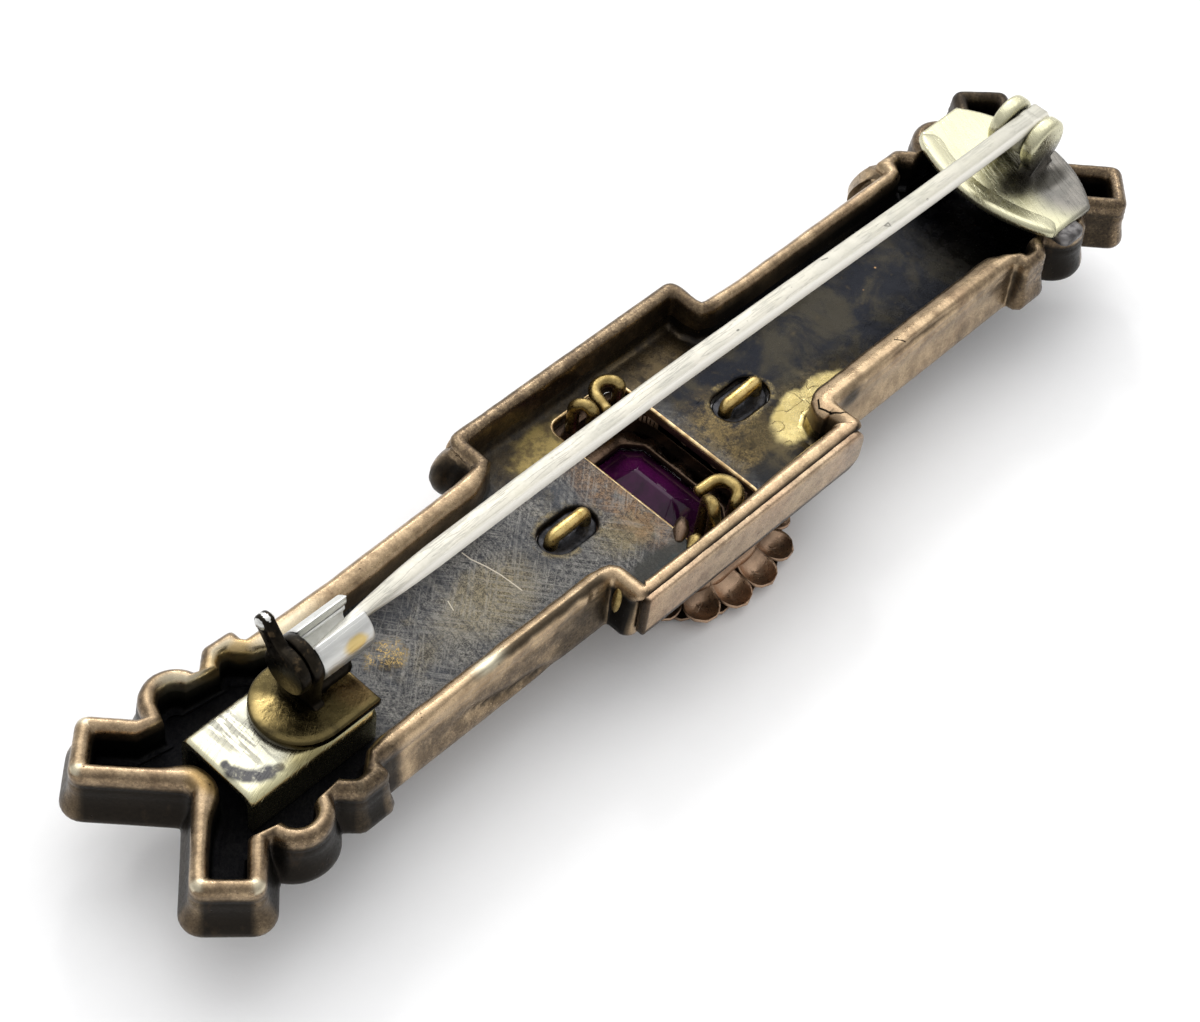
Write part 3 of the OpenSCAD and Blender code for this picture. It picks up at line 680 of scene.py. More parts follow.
    # the film of oxide colours by the near wall
    film = patch(-3.9, -3.95, 2.6, 0.95, 0.2, 0.8)
    band = y + x * -0.12 + mid * 1.1
    hue = m.node("ValToRGB", {0: m.ramp(band, -4.1, -2.5)})
    set_stops(hue, [(0.0, (0.009, 0.016, 0.024)), (1.0, (0.034, 0.034, 0.03)), (0.3, (0.012, 0.032, 0.042)),
                    (0.48, (0.08, 0.038, 0.022)), (0.6, (0.022, 0.028, 0.032)), (0.8, (0.032, 0.046, 0.046))])
    m.coat(film * 0.9, Val(m, hue.outputs[0]))
    crev = m.cavity(1.2, 0.3, 0.9)
    m.coat(crev * 0.75, (0.008, 0.007, 0.008))
    # painted shade: the floor is blackened under the catch and under the hinge
    ends = most(m.ramp(x, -16.8, -18.5), m.ramp(x, 14.5, 21.0) * 0.85)
    m.coat(ends * 0.96, (0.004, 0.004, 0.005))
    rough = blend(side, m.ramp(fine, 0.3, 0.75, 0.38, 0.6), m.ramp(mid, 0.35, 0.7, 0.16, 0.4))
    metal = most(blend(side, 0.6, 0.8), most(most(bare, flecks), ends))
    m.bump(speck * blend(side, 1.3, 0.25) + mid * 0.7 - (thin * 0.6 + curl * bare * 0.7), 0.03)
    return m.done(rough, metal)


def plain(name, scale, detail, bump, light, dark, rough, metal=1.0):
    """A metal with one soft noise in its colour, roughness and height."""
    m = Mat(name)
    n = m.noise(scale, detail)
    m.bump(n, bump)
    m.col = m.tones(n, 0.35, 0.65, light, dark)
    return m.done(m.ramp(n, 0.3, 0.7, *rough), metal)


def mat_wire():
    m = Mat("brass_wire")
    n = m.noise(2.2, 5, 0.6)
    f = m.noise(12, 3, seed=2.0)
    crev = m.cavity(0.5, 0.3, 0.9)
    m.col = m.tones(n, 0.4, 0.7, (0.72, 0.54, 0.22), (0.46, 0.31, 0.1))
    y = m.axes()[1]
    # painted shade: the ties out at the sides are made darker olive, as if in shade
    tie = m.ramp(abs(y), 2.0, 2.5) * m.ramp(n, 0.35, 0.6, 0.55, 0.8)
    m.coat(tie, (0.20, 0.145, 0.055))
    m.coat(crev * 0.85, (0.05, 0.035, 0.015))
    m.bump(n + f * 0.3, 0.02)
    return m.done(m.ramp(f, 0.3, 0.7, 0.22, 0.42), 1.0)


def mat_white(name, light, dark, angle, rough, warm, blotch=1.0, pitted=0.8, soil=1.0):
    """Worn white metal: soft polish, fine scratches along one direction and small dark pits."""
    m = Mat(name)
    big = m.noise(0.4, 3, 0.5, distort=0.3)
    fine = m.noise(8, 5, 0.7, seed=1.5)
    lines = scratches(m, angle, 6.0, 0.03, 0.7, 3.0)
    m.col = m.mix(m.ramp(big, 0.35, 0.7, 0, blotch), light, dark)
    m.coat(m.ramp(m.noise(0.28, 3, seed=6.0), 0.45, 0.7, 0, warm), (0.78, 0.74, 0.54))
    pits = m.ramp(m.cells(1.9), 0.0, 0.08, 1.0, 0.0) * m.ramp(m.noise(0.9, 2, seed=8.0), 0.54, 0.6)
    crev = m.cavity(0.5, 0.2, 0.85) * soil
    m.coat(most(pits * pitted, crev) * 0.8, (0.07, 0.065, 0.055))
    m.bump(fine * 0.25 - (lines * 0.5 + pits), 0.010)
    return m, m.ramp(fine, 0.3, 0.75, *rough), lines


def mat_pin():
    m, rough, lines = mat_white("pin_metal", (0.57, 0.545, 0.475), (0.47, 0.455, 0.40), 0, (0.44, 0.6), 0.2)
    marks = m.line([(13.75, 0.2), (13.95, 0.0), (14.02, 0.22), (13.75, 0.2)], 0.05)
    for ends, width in (([(16.5, 0.02), (16.55, 0.04)], 0.07), ([(10.0, 0.6), (10.28, 0.52)], 0.05),
                        ([(4.12, 0.2), (4.18, 0.2)], 0.07)):
        marks = most(marks, m.line(ends, width))
    m.coat(lines * 0.45, (0.30, 0.29, 0.26))
    m.coat(marks * 0.75, (0.12, 0.115, 0.10))
    x, y, z = m.axes()
    m.coat(m.ramp(x, 12.0, 25.0) * 0.55, (0.40, 0.395, 0.35))
    # painted light: the stem's point inside the sleeve is painted bright, as if lit there
    m.coat(m.ramp(x, -16.2, -17.4), (0.76, 0.75, 0.69))
    # painted light: the near side is painted pale and not metallic, so that it looks as bright as the top
    side = m.ramp(y, PIN_Y - 0.28, PIN_Y - 0.42) * m.ramp(z, STEM_Z - 0.25, STEM_Z + 0.1)
    m.coat(side, (0.95, 0.92, 0.83))
    return m.done(rough, blend(side, 1.0, 0.0))


def mat_leaf():
    m, rough, _ = mat_white("leaf_metal", (0.565, 0.54, 0.365), (0.46, 0.45, 0.32), 70, (0.24, 0.34), 0.3, 0.7, 0.2,
                            0.35)
    dull = m.spot((24.9, -2.1, 6.2), (2.4, 2.6, 1.3), 0.35, 0.6)
    tint = m.mix(m.ramp(m.noise(0.9, 4, seed=14.0), 0.4, 0.65), (0.12, 0.115, 0.115), (0.20, 0.185, 0.175))
    m.coat(dull * 0.92, tint)
    shade = most(m.spot((22.7, -0.75, 6.2), (0.95, 0.75, 1), 0.45, 0.5),
                 m.spot((24.2, -1.6, 6.4), (1.2, 0.5, 0.7), 0.4, 0.4))
    m.coat(shade * 0.9, (0.045, 0.042, 0.036))
    return m.done(rough, 1.0)


# The dark smear on the bright strip
SMEAR = [(-23.6, -0.08), (-23.62, -0.53), (-23.42, -0.94), (-23.08, -1.26), (-22.65, -1.42), (-22.25, -1.5)]


def mat_strip():
    m, rough, _ = mat_white("strip_metal", (0.76, 0.735, 0.59), (0.52, 0.51, 0.41), 18, (0.2, 0.34), 0.3, 0.8, 0.3)
    x, y, _ = m.axes()
    yellow = most(m.ramp(y, -1.2, -1.9), m.ramp(x, -23.0, -24.0) * 0.5)
    m.coat(yellow * 0.8, (0.64, 0.59, 0.31))
    smear = m.line(SMEAR[1:5], 0.42, 0.2)
    thin = m.line(SMEAR, 0.26, 0.2)
    smear = most(smear, thin) * m.ramp(m.noise(3.2, 5, 0.7, seed=9.0), 0.3, 0.52, 0.6, 1.0)
    brush = m.ramp(m.noise(5, 4, stretch=(1.3, 0.16, 1)), 0.47, 0.54)
    smear2 = m.spot((-22.4, 0.6, 5.9), (0.8, 1.8, 1), 0.5, 0.8) * brush
    dark = most(smear, smear2 * 0.62)
    m.coat(dark * 0.95, (0.045, 0.045, 0.055))
    # painted reflection: a brown-olive reflection of the pad by the fold
    olive = m.spot((-20.9, -1.6, 5.9), (1.2, 0.45, 1), 0.5, 0.5)
    m.coat(olive * 0.8, (0.22, 0.18, 0.07))
    return m.done(rough, 1.0)


def mat_sleeve():
    m, rough, _ = mat_white("sleeve_metal", (0.72, 0.72, 0.69), (0.60, 0.60, 0.58), 0, (0.32, 0.46), 0.05, 0.6, 0.2)
    # painted reflection: a yellow spot on the sleeve's near face
    gold = m.spot((-17.8, -0.72, 8.55), (0.55, 0.25, 0.42), 0.3, 0.4)
    m.coat(gold * 0.85, (0.72, 0.52, 0.16))
    return m.done(rough, 1.0)


def mat_pad():
    m = Mat("pad_brass")
    big = m.noise(0.7, 5, 0.6, distort=0.5)
    fine = m.noise(7, 6, 0.7, seed=1.0)
    m.col = m.tones(big, 0.38, 0.68, (0.075, 0.058, 0.024), (0.028, 0.022, 0.011))
    # painted highlights: bright gold spots on the pad
    gold = most(m.spot((-21.0, 0.3, 6.4), (0.55, 0.9, 1), 0.4, 0.7),
                m.spot((-18.1, -0.2, 6.4), (0.7, 0.4, 1), 0.4, 0.7))
    m.coat(gold * m.ramp(big, 0.35, 0.6, 0.45, 0.9), (0.60, 0.45, 0.18))
    red = m.spot((-18.2, -0.9, 6.4), (0.7, 0.8, 1), 0.4, 0.6)
    m.coat(red * 0.45, (0.16, 0.10, 0.045))
    crev = m.cavity(0.8, 0.25, 0.9)
    m.coat(crev * 0.85, (0.03, 0.022, 0.014))
    lines = scratches(m, 35, 5.0, 0.03, 0.6, 4.0)
    m.bump(big * 2.0 + fine * 0.06 - lines * 0.05, 0.03)
    return m.done(m.ramp(fine, 0.3, 0.75, 0.2, 0.34), 1.0)


def mat_lever():
    m = Mat("lever_brass")
    n = m.noise(1.4, 5, 0.6)
    fine = m.noise(8, 4, seed=2.0)
    # painted shade: this near-black stands in for the shade on the upright cheek, which faces away from the light; the
    # lever and the web share it
    m.col = m.tones(n, 0.38, 0.68, (0.022, 0.018, 0.013), (0.007, 0.006, 0.005))
    rim = m.ramp(m.noise(2.4, 3, seed=7.0), 0.58, 0.7)
    m.coat(rim * 0.35, (0.16, 0.11, 0.06))
    m.bump(n + fine * 0.4, 0.02)
    return m.done(m.ramp(fine, 0.3, 0.7, 0.26, 0.42), 1.0)


def mat_stone():
    m = Mat("plum_stone")
    n = m.noise(1.2, 3)
    m.col = m.tones(n, 0.35, 0.65, (0.022, 0.003, 0.020), (0.05, 0.008, 0.042))
    y = m.axes()[1]
    glow = m.ramp(y, -1.6, 0.6) * m.ramp(m.noise(0.8, 3, seed=4.0), 0.35, 0.6)
    m.coat(glow, (0.075, 0.006, 0.06))
    return m.done(0.05, 0.0, Transmission_Weight=0.15, IOR=1.42, Specular_IOR_Level=0.35)


def mat_inside():
    """The dark metal seen at the bottom of the slots."""
    m = Mat("dark_inside")
    n = m.noise(2.2, 5, 0.65)
    fine = m.noise(9, 4, seed=2.0)
    m.bump(n + fine * 0.5, 0.05)
    m.col = m.tones(n, 0.4, 0.66, (0.05, 0.05, 0.055), (0.012, 0.012, 0.014))
    return m.done(m.ramp(fine, 0.3, 0.7, 0.3, 0.55), 0.8)


RIM, PANEL, SETTING, FLOOR, WIRE = mat_rim(), mat_panel(), mat_setting(), mat_floor(), mat_wire()
PIN, LEAF, STRIP, SLEEVE, PAD, LEVER = mat_pin(), mat_leaf(), mat_strip(), mat_sleeve(), mat_pad(), mat_lever()
STONE, INSIDE = mat_stone(), mat_inside()
EDGE = plain("bright_edge", 3, 4, 0.02, (0.78, 0.6, 0.34), (0.5, 0.34, 0.17), (0.25, 0.4))
SOLDER = plain("grey_solder", 2.5, 5, 0.04, (0.22, 0.21, 0.205), (0.09, 0.085, 0.085), (0.4, 0.6))
# Painted light: the lever's inner shell in the sleeve is painted near-white and barely metallic, so that it looks full
# of light in the sleeve's shade
BRIGHT = plain("bright_inside", 4, 4, 0.01, (0.96, 0.96, 0.92), (0.86, 0.86, 0.82), (0.4, 0.55), 0.25)


# ---------------------------------------------------------------- the shell's outline
def sd_box(x, y, cx, cy, hx, hy, r, turn=0.0):
    """Signed distance to a rectangle with round corners, given by its middle and half sides."""
    c, s = math.cos(turn), math.sin(turn)
    dx, dy = x - cx, y - cy
    u, v = dx * c + dy * s, dy * c - dx * s
    qx, qy = np.abs(u) - hx + r, np.abs(v) - hy + r
    return np.hypot(np.maximum(qx, 0), np.maximum(qy, 0)) + np.minimum(np.maximum(qx, qy), 0) - r


# How much further out the far side stands than the near one, along X
FAR = np.array([(-28.0, 0.35), (-21.5, 0.32), (-19.0, 0.15), (-15.0, 0.12), (-8.0, 0.3), (-6.9, 0.43), (7.0, 0.43),
                (9.0, 0.32), (20.0, 0.34), (28.0, 0.45)])


def outline_distance(x, y):
    """Signed distance to the brooch's outline; the four ends are mirror images."""
    y = y - np.clip(y, 0, np.interp(x, *FAR.T))
    ax, ay = np.abs(x), np.abs(y)
    d = sd_box(x, y, 0, 0, BLOCK_LEN / 2, BLOCK_W / 2, BLOCK_R)
    d = np.minimum(d, sd_box(x, y, 0, 0, STEP_IN + 1, BAR_W / 2, 0.05))
    step = sd_box(ax, ay, (STEP_IN + STEP_OUT) / 2, 0, (STEP_OUT - STEP_IN) / 2, STEP_HALF, 0.1)
    cut = (ax - (STEP_OUT - STEP_CUT) + ay - STEP_HALF) / math.sqrt(2)
    d = np.minimum(d, np.maximum(step, cut))
    d = np.minimum(d, np.hypot(ax - LOBE_X, ay - LOBE_Y) - LOBE_R)
    d = np.minimum(d, sd_box(ax, ay, (STEP_IN + HEAD_END) / 2, 0, (HEAD_END - STEP_IN) / 2, HEAD_HALF, 0.1))
    run = V_EDGE - PRONG_START
    mid = PRONG_START + run / 2
    c, s = math.cos(PRONG_TURN), math.sin(PRONG_TURN)
    cx = V_APEX_X + mid * c - PRONG_W / 2 * s
    cy = mid * s + PRONG_W / 2 * c
    return np.minimum(d, sd_box(ax, ay, cx, cy, run / 2, PRONG_W / 2, PRONG_R, PRONG_TURN))


class Field:
    """A grid of the outline's true distance, softened a little, with smooth lookup."""

    def __init__(self):
        self.cell = 0.1
        self.x0, self.y0 = -30.0, -7.0
        gx, gy = np.meshgrid(np.arange(self.x0, 30.0, self.cell), np.arange(self.y0, 7.0, self.cell), indexing="ij")
        rough = outline_distance(gx, gy)
        edge = self._trace(outline_distance)
        tree = tree_of(edge)
        near = np.abs(rough) < 2.2
        d = rough.copy()
        for i, j in zip(*np.nonzero(near)):
            d[i, j] = math.copysign(tree.find((gx[i, j], gy[i, j], 0))[2], rough[i, j])
        for _ in range(2):
            p = np.pad(d, 1, mode="edge")
            d = (p[:-2, 1:-1] + p[2:, 1:-1] + p[1:-1, :-2] + p[1:-1, 2:] + 2 * p[1:-1, 1:-1]) / 6
        self.d = d

    @staticmethod
    def _trace(f, step=0.03):
        """Follows the outline once round, starting at the bar's near side."""
        p = np.array([-12.0, -BAR_W / 2])
        out = [p.copy()]
        e = 1e-3

        def grad(q):
            return np.array([(f(q[0] + e, q[1]) - f(q[0] - e, q[1])) / (2 * e),
                             (f(q[0], q[1] + e) - f(q[0], q[1] - e)) / (2 * e)])
        for _ in range(20000):
            g = grad(p)
            g /= max(np.linalg.norm(g), 1e-6)
            p = p + step * np.array([-g[1], g[0]])
            for _ in range(2):
                g = grad(p)
                p = p - float(f(p[0], p[1])) * g / max(float(g @ g), 0.3)
            out.append(p.copy())
            if len(out) > 50 and np.linalg.norm(p - out[0]) < step:
                break
        return np.array(out)

    def at(self, p):
        u = (p[:, 0] - self.x0) / self.cell
        v = (p[:, 1] - self.y0) / self.cell
        i = np.clip(u.astype(int), 0, self.d.shape[0] - 2)
        j = np.clip(v.astype(int), 0, self.d.shape[1] - 2)
        a, b = u - i, v - j
        d = self.d
        return ((1 - a) * (1 - b) * d[i, j] + a * (1 - b) * d[i + 1, j] + (1 - a) * b * d[i, j + 1]
                + a * b * d[i + 1, j + 1])

    def grad(self, p):
        h = 0.08
        gx = (self.at(p + [h, 0]) - self.at(p - [h, 0])) / (2 * h)
        gy = (self.at(p + [0, h]) - self.at(p - [0, h])) / (2 * h)
        return np.column_stack([gx, gy])

    def move(self, p, target):
        """Moves points along the slope until each reaches its target distance."""
        for _ in range(8):
            g = self.grad(p)
            g2 = np.maximum((g * g).sum(1), 0.2)
            step = ((target - self.at(p)) / g2)[:, None] * g
            size = np.linalg.norm(step, axis=1, keepdims=True)
            p = p + step * np.minimum(1, 0.12 / np.maximum(size, 1e-9))
        return p


field = Field()
base = field._trace(lambda x, y: field.at(np.array([[x, y]]))[0], 0.05)
base = resample(base[:-1], 0.12)


def finer(loop, spots):
    """Four times the points on the loop beside some spots."""
    out = []
    for p, q in zip(loop, np.roll(loop, -1, 0)):
        near = min(np.hypot(*(p - c)) for c in spots) < 0.3
        out += [p + (q - p) * k / 4 for k in range(4 if near else 1)]
    return np.array(out)


base = finer(base, np.array([(6.85, -BAR_W / 2), (-6.85, -BAR_W / 2), (-V_APEX_X, 0.17)]))


def wav(p, scale, seed):
    """Slow noise at points of the plane."""
    return np.array([noise.noise(Vector((x * scale + seed, y * scale, seed))) for x, y in p])


# ---------------------------------------------------------------- the shell
# The groove in the near left wall: x and height
GROOVE = np.array([(-14.9, 4.35), (-13.5, 3.92), (-12.3, 3.65), (-11.2, 3.52), (-10.0, 3.25)])


def soft(lo, hi, x):
    """A smooth step from 0 at lo to 1 at hi."""
    t = np.clip((np.asarray(x, float) - lo) / (hi - lo), 0, 1)
    return t * t * (3 - 2 * t)


def bell(x, mid, width):
    """1 at the middle, falling to 0 on both sides."""
    return np.exp(-((x - mid) / width) ** 2)


def along_groove(x):
    """The groove's height at x, and how deep it is there."""
    return np.interp(x, *GROOVE.T), soft(GROOVE[0, 0] - 0.8, GROOVE[0, 0] + 1.0, x) * soft(
        GROOVE[-1, 0] + 0.8, GROOVE[-1, 0] - 1.0, x)


# One row for each ring of the shell's section, from the front plate up over the rim and down to the floor:
# distance outward from the rim's edge, share of the flare, height; then distance and height along the
# block's long sides
SECTION = [
    (-0.70, 0, 3.40, -0.70, 3.40),
    (-0.70, 0, 3.06, -0.75, 3.06),
    (-0.60, 0, 3.00, -0.70, 3.00),
    (-0.28, 1, 3.00, -0.50, 3.00),
    (-0.13, 1, 3.04, -0.43, 3.04),
    (-0.04, 1, 3.12, -0.40, 3.12),
    *[(0.00, share, z, -0.40, z) for share, z in [
        (1, 3.26), (0.93, 3.45), (0.80, 3.62), (0.66, 3.79), (0.52, 3.96), (0.39, 4.13), (0.28, 4.30), (0.19, 4.47),
        (0.11, 4.64)]],
    (-0.01, 0.06, 4.80, -0.40, 4.80),
    (-0.03, 0.02, 4.94, -0.40, 5.10),
    (-0.04, 0, 5.05, -0.39, 5.36),
    (-0.02, 0, 5.13, -0.30, 5.47),
    (0.00, 0, 5.22, -0.10, 5.50),
    (0.00, 0, 5.36, -0.02, 5.54),
    (-0.01, 0, 5.50, 0.00, 5.62),
    (-0.05, 0, 5.62, -0.03, 5.70),
    (-0.11, 0, 5.71, -0.09, 5.77),
    (-0.18, 0, 5.78, -0.16, 5.81),
    (-0.26, 0, 5.83, -0.25, 5.84),
    (-0.35, 0, 5.85, -0.35, 5.85),
    (-0.44, 0, 5.83, -0.45, 5.84),
    (-0.53, 0, 5.78, -0.54, 5.80),
    (-0.61, 0, 5.69, -0.62, 5.72),
    (-0.67, 0, 5.57, -0.67, 5.59),
    *[(d, 0, z, d, z) for d, z in [
        (-0.70, 5.42), (-0.71, 5.10), (-0.72, 4.60), (-0.73, 4.20), (-0.77, 4.05), (-0.86, 3.98), (-1.00, 3.95)]]]
# The rows at the rim's crown and at the band's lower edge, and the first that is painted as the floor
CROWN_ROW, BAND_ROW, FLOOR_ROW = 26, 19, 33
# The rows that the slit, the crumpled band and the fold under the band touch
SLIT_ROWS, BAND_ROWS, FOLD_ROWS = range(22, 24), range(19, 24), range(15, 19)
# How much further in each row stands on the near long side: its outer face, and its inner face
INSET = [(17, 18, 19, 20, 26, 30, 36), (0.0, 0.04, 0.12, 0.2, 0.2, 0.0, 0.0)]
INNER_INSET = [(26, 30, 31, 33, 35, 36), (0.0, 1.0, 1.0, 0.7, 0.0, 0.0)]


def shell():
    """The gilt shell: its section is led round the outline from the band, up over the rim to the floor and
    down to the front plate; then the floor with its openings, and the plate."""
    b = Build()
    n = len(base)
    bx, by = base.T
    ax = np.abs(bx)
    near = by < -3.2
    on_side = np.clip((np.abs(by) - 4.6) / 0.35, 0, 1) * np.clip((7.0 - ax) / 0.3, 0, 1)
    ends = soft(18.8, 19.8, ax)
    flare = 0.22 + 0.06 * ends + 0.14 * soft(-23.0, -25.0, bx)
    lift = 0.22 * ends
    near_bar = near * soft(6.6, 7.6 - 0.6 * (bx > 0), ax) * (1 - soft(18.4, 19.4, ax))
    far_left = (by > 3.2) * soft(-6.6, -8.0, bx) * (1 - soft(-18.4, -19.4, bx))
    wide = (0.14 + 0.3 * soft(6.5, 6.8, bx) * (by > -3.8)) * near_bar + (0.22 + 0.012 * (-8 - bx)) * far_left
    wide = wide + 0.3 * np.exp(-((bx + 25.0) ** 2 + (by - 0.17) ** 2) / 0.8)
    beside = soft(-4.7, -5.1, by) * soft(6.9, 6.3, ax)
    wave, wave2, wave3 = wav(base, 0.35, 3.0), wav(base, 1.1, 9.0), wav(base, 2.7, 5.0)
    # near left bar: a crumpled outer edge of the band and a long groove in the wall; near right: a slit
    crumple = near * soft(-17.5, -14.5, bx) * soft(-6.7, -7.6, bx)
    groove_z, groove = along_groove(bx)
    groove = groove * near
    slit = near * bell(bx, 12.8, 2.4)
    tall = near * soft(6.9, 7.8, bx) * (1 - soft(18.4, 19.4, bx))
    # two rounded swellings of the wall, at the block's far corner and at the far step
    swell = (1.15 * np.exp(-((bx + 7.0) ** 2 + (by - 5.45) ** 2) / 0.8)
             + 0.95 * np.exp(-((bx - 19.1) ** 2 + (by - 4.35) ** 2) / 0.6))
    placed = {}
    for run in (range(BAND_ROW + 1, len(SECTION)), range(BAND_ROW, -1, -1)):
        p = base.copy()
        for k in run:
            d0, share, z0, d1, z1 = SECTION[k]
            z0 = z0 + lift * np.clip((4.3 - z0) / 1.0, 0, 1)
            d0 = d0 + share * flare - 0.16 * groove * bell(z0, groove_z, 0.2)
            if k in SLIT_ROWS:
                d0 = d0 - 0.10 * slit
            if k in BAND_ROWS:
                d0 = d0 + crumple * (0.07 * wave3 - 0.05)
            if k in FOLD_ROWS:
                d0 = d0 + 0.04 * ends + (0.03 - d0) * tall
            d = d0 * (1 - on_side) + d1 * on_side - beside * (
                np.interp(k, *INSET) + np.interp(k, *INNER_INSET) * (0.13 + 0.2 * soft(-3, 4, bx)))
            z = z0 * (1 - on_side) + z1 * on_side
            if k > CROWN_ROW:
                grow = min(1.0, (k - CROWN_ROW) / 4)
                d = d - grow * (wide + 0.03 * wave2 * (k < len(SECTION) - 2)) - 0.03 * wave * grow
            elif k >= BAND_ROW:
                d = d + 0.015 * wave2
                z = z + 0.012 * wave + 0.012 * wave3
            else:
                d = d + 0.02 * wave + swell * np.sin(math.pi * np.clip((z - 2.75) / 2.7, 0, 1)) ** 0.7
            p = field.move(p, d)
            placed[k] = np.column_stack([p, np.zeros(n) + z])
    rings = [placed[k] for k in range(len(SECTION))]
    mats = [0] * (FLOOR_ROW * n) + [1] * ((len(SECTION) - 1 - FLOOR_ROW) * n)
    b.rings(rings, mats)
    # the floor, with the window and the two slots
    window = resample(round_rect(*WINDOW), 0.12)
    holes = [window] + [resample(round_rect(SLOT_L, SLOT_W, SLOT_W / 2 - 0.001, x, SLOT_Y, 14), 0.12)
                        for x in (-SLOT_X, SLOT_X)]
    lip = [h + normals2d(h) * 0.13 for h in holes]
    vs, fs = fill(rings[-1][:, :2], lip, 0.3)
    # the floor ripples a little, but not beside walls and openings
    hit = np.minimum(1, np.maximum(0, (-field.at(vs) - 1.0) / 0.4))
    for h in holes:
        tree = tree_of(h)
        away = np.array([tree.find((x, y, 0))[2] for x, y in vs])
        hit *= np.clip((away - 0.14) / 0.4, 0, 1)
    ripple = 0.035 * wav(vs, 0.45, 1.0) + 0.018 * wav(vs, 1.6, 2.0)
    b.add([(x, y, FLOOR_Z + h * r) for (x, y), h, r in zip(vs, hit, ripple)], fs, 1)
    # the openings' edges: a soft bright corner, then a straight wall
    for h, l in zip(holes, lip):
        nrm = normals2d(h)
        edge = [(l, FLOOR_Z), (h + nrm * 0.05, FLOOR_Z - 0.02), (h + nrm * 0.01, FLOOR_Z - 0.07), (h, FLOOR_Z - 0.16),
                (h, PLATE_Z + 0.05), (h + nrm * 0.04, PLATE_Z)]
        b.rings([at_height(*row) for row in edge], [2 if h is window else 1] * (3 * len(h)) + [0] * (2 * len(h)))
    # the hidden front plate, plain
    under = [h + normals2d(h) * 0.04 for h in holes]
    vs, fs = fill(rings[0][:, :2], under, 0.8)
    b.add(at_height(vs, PLATE_Z), [f[::-1] for f in fs])
    paint_shell(b.make("shell", [RIM, FLOOR, EDGE], slot="gilt_shell", nodes=["tray"]).data)


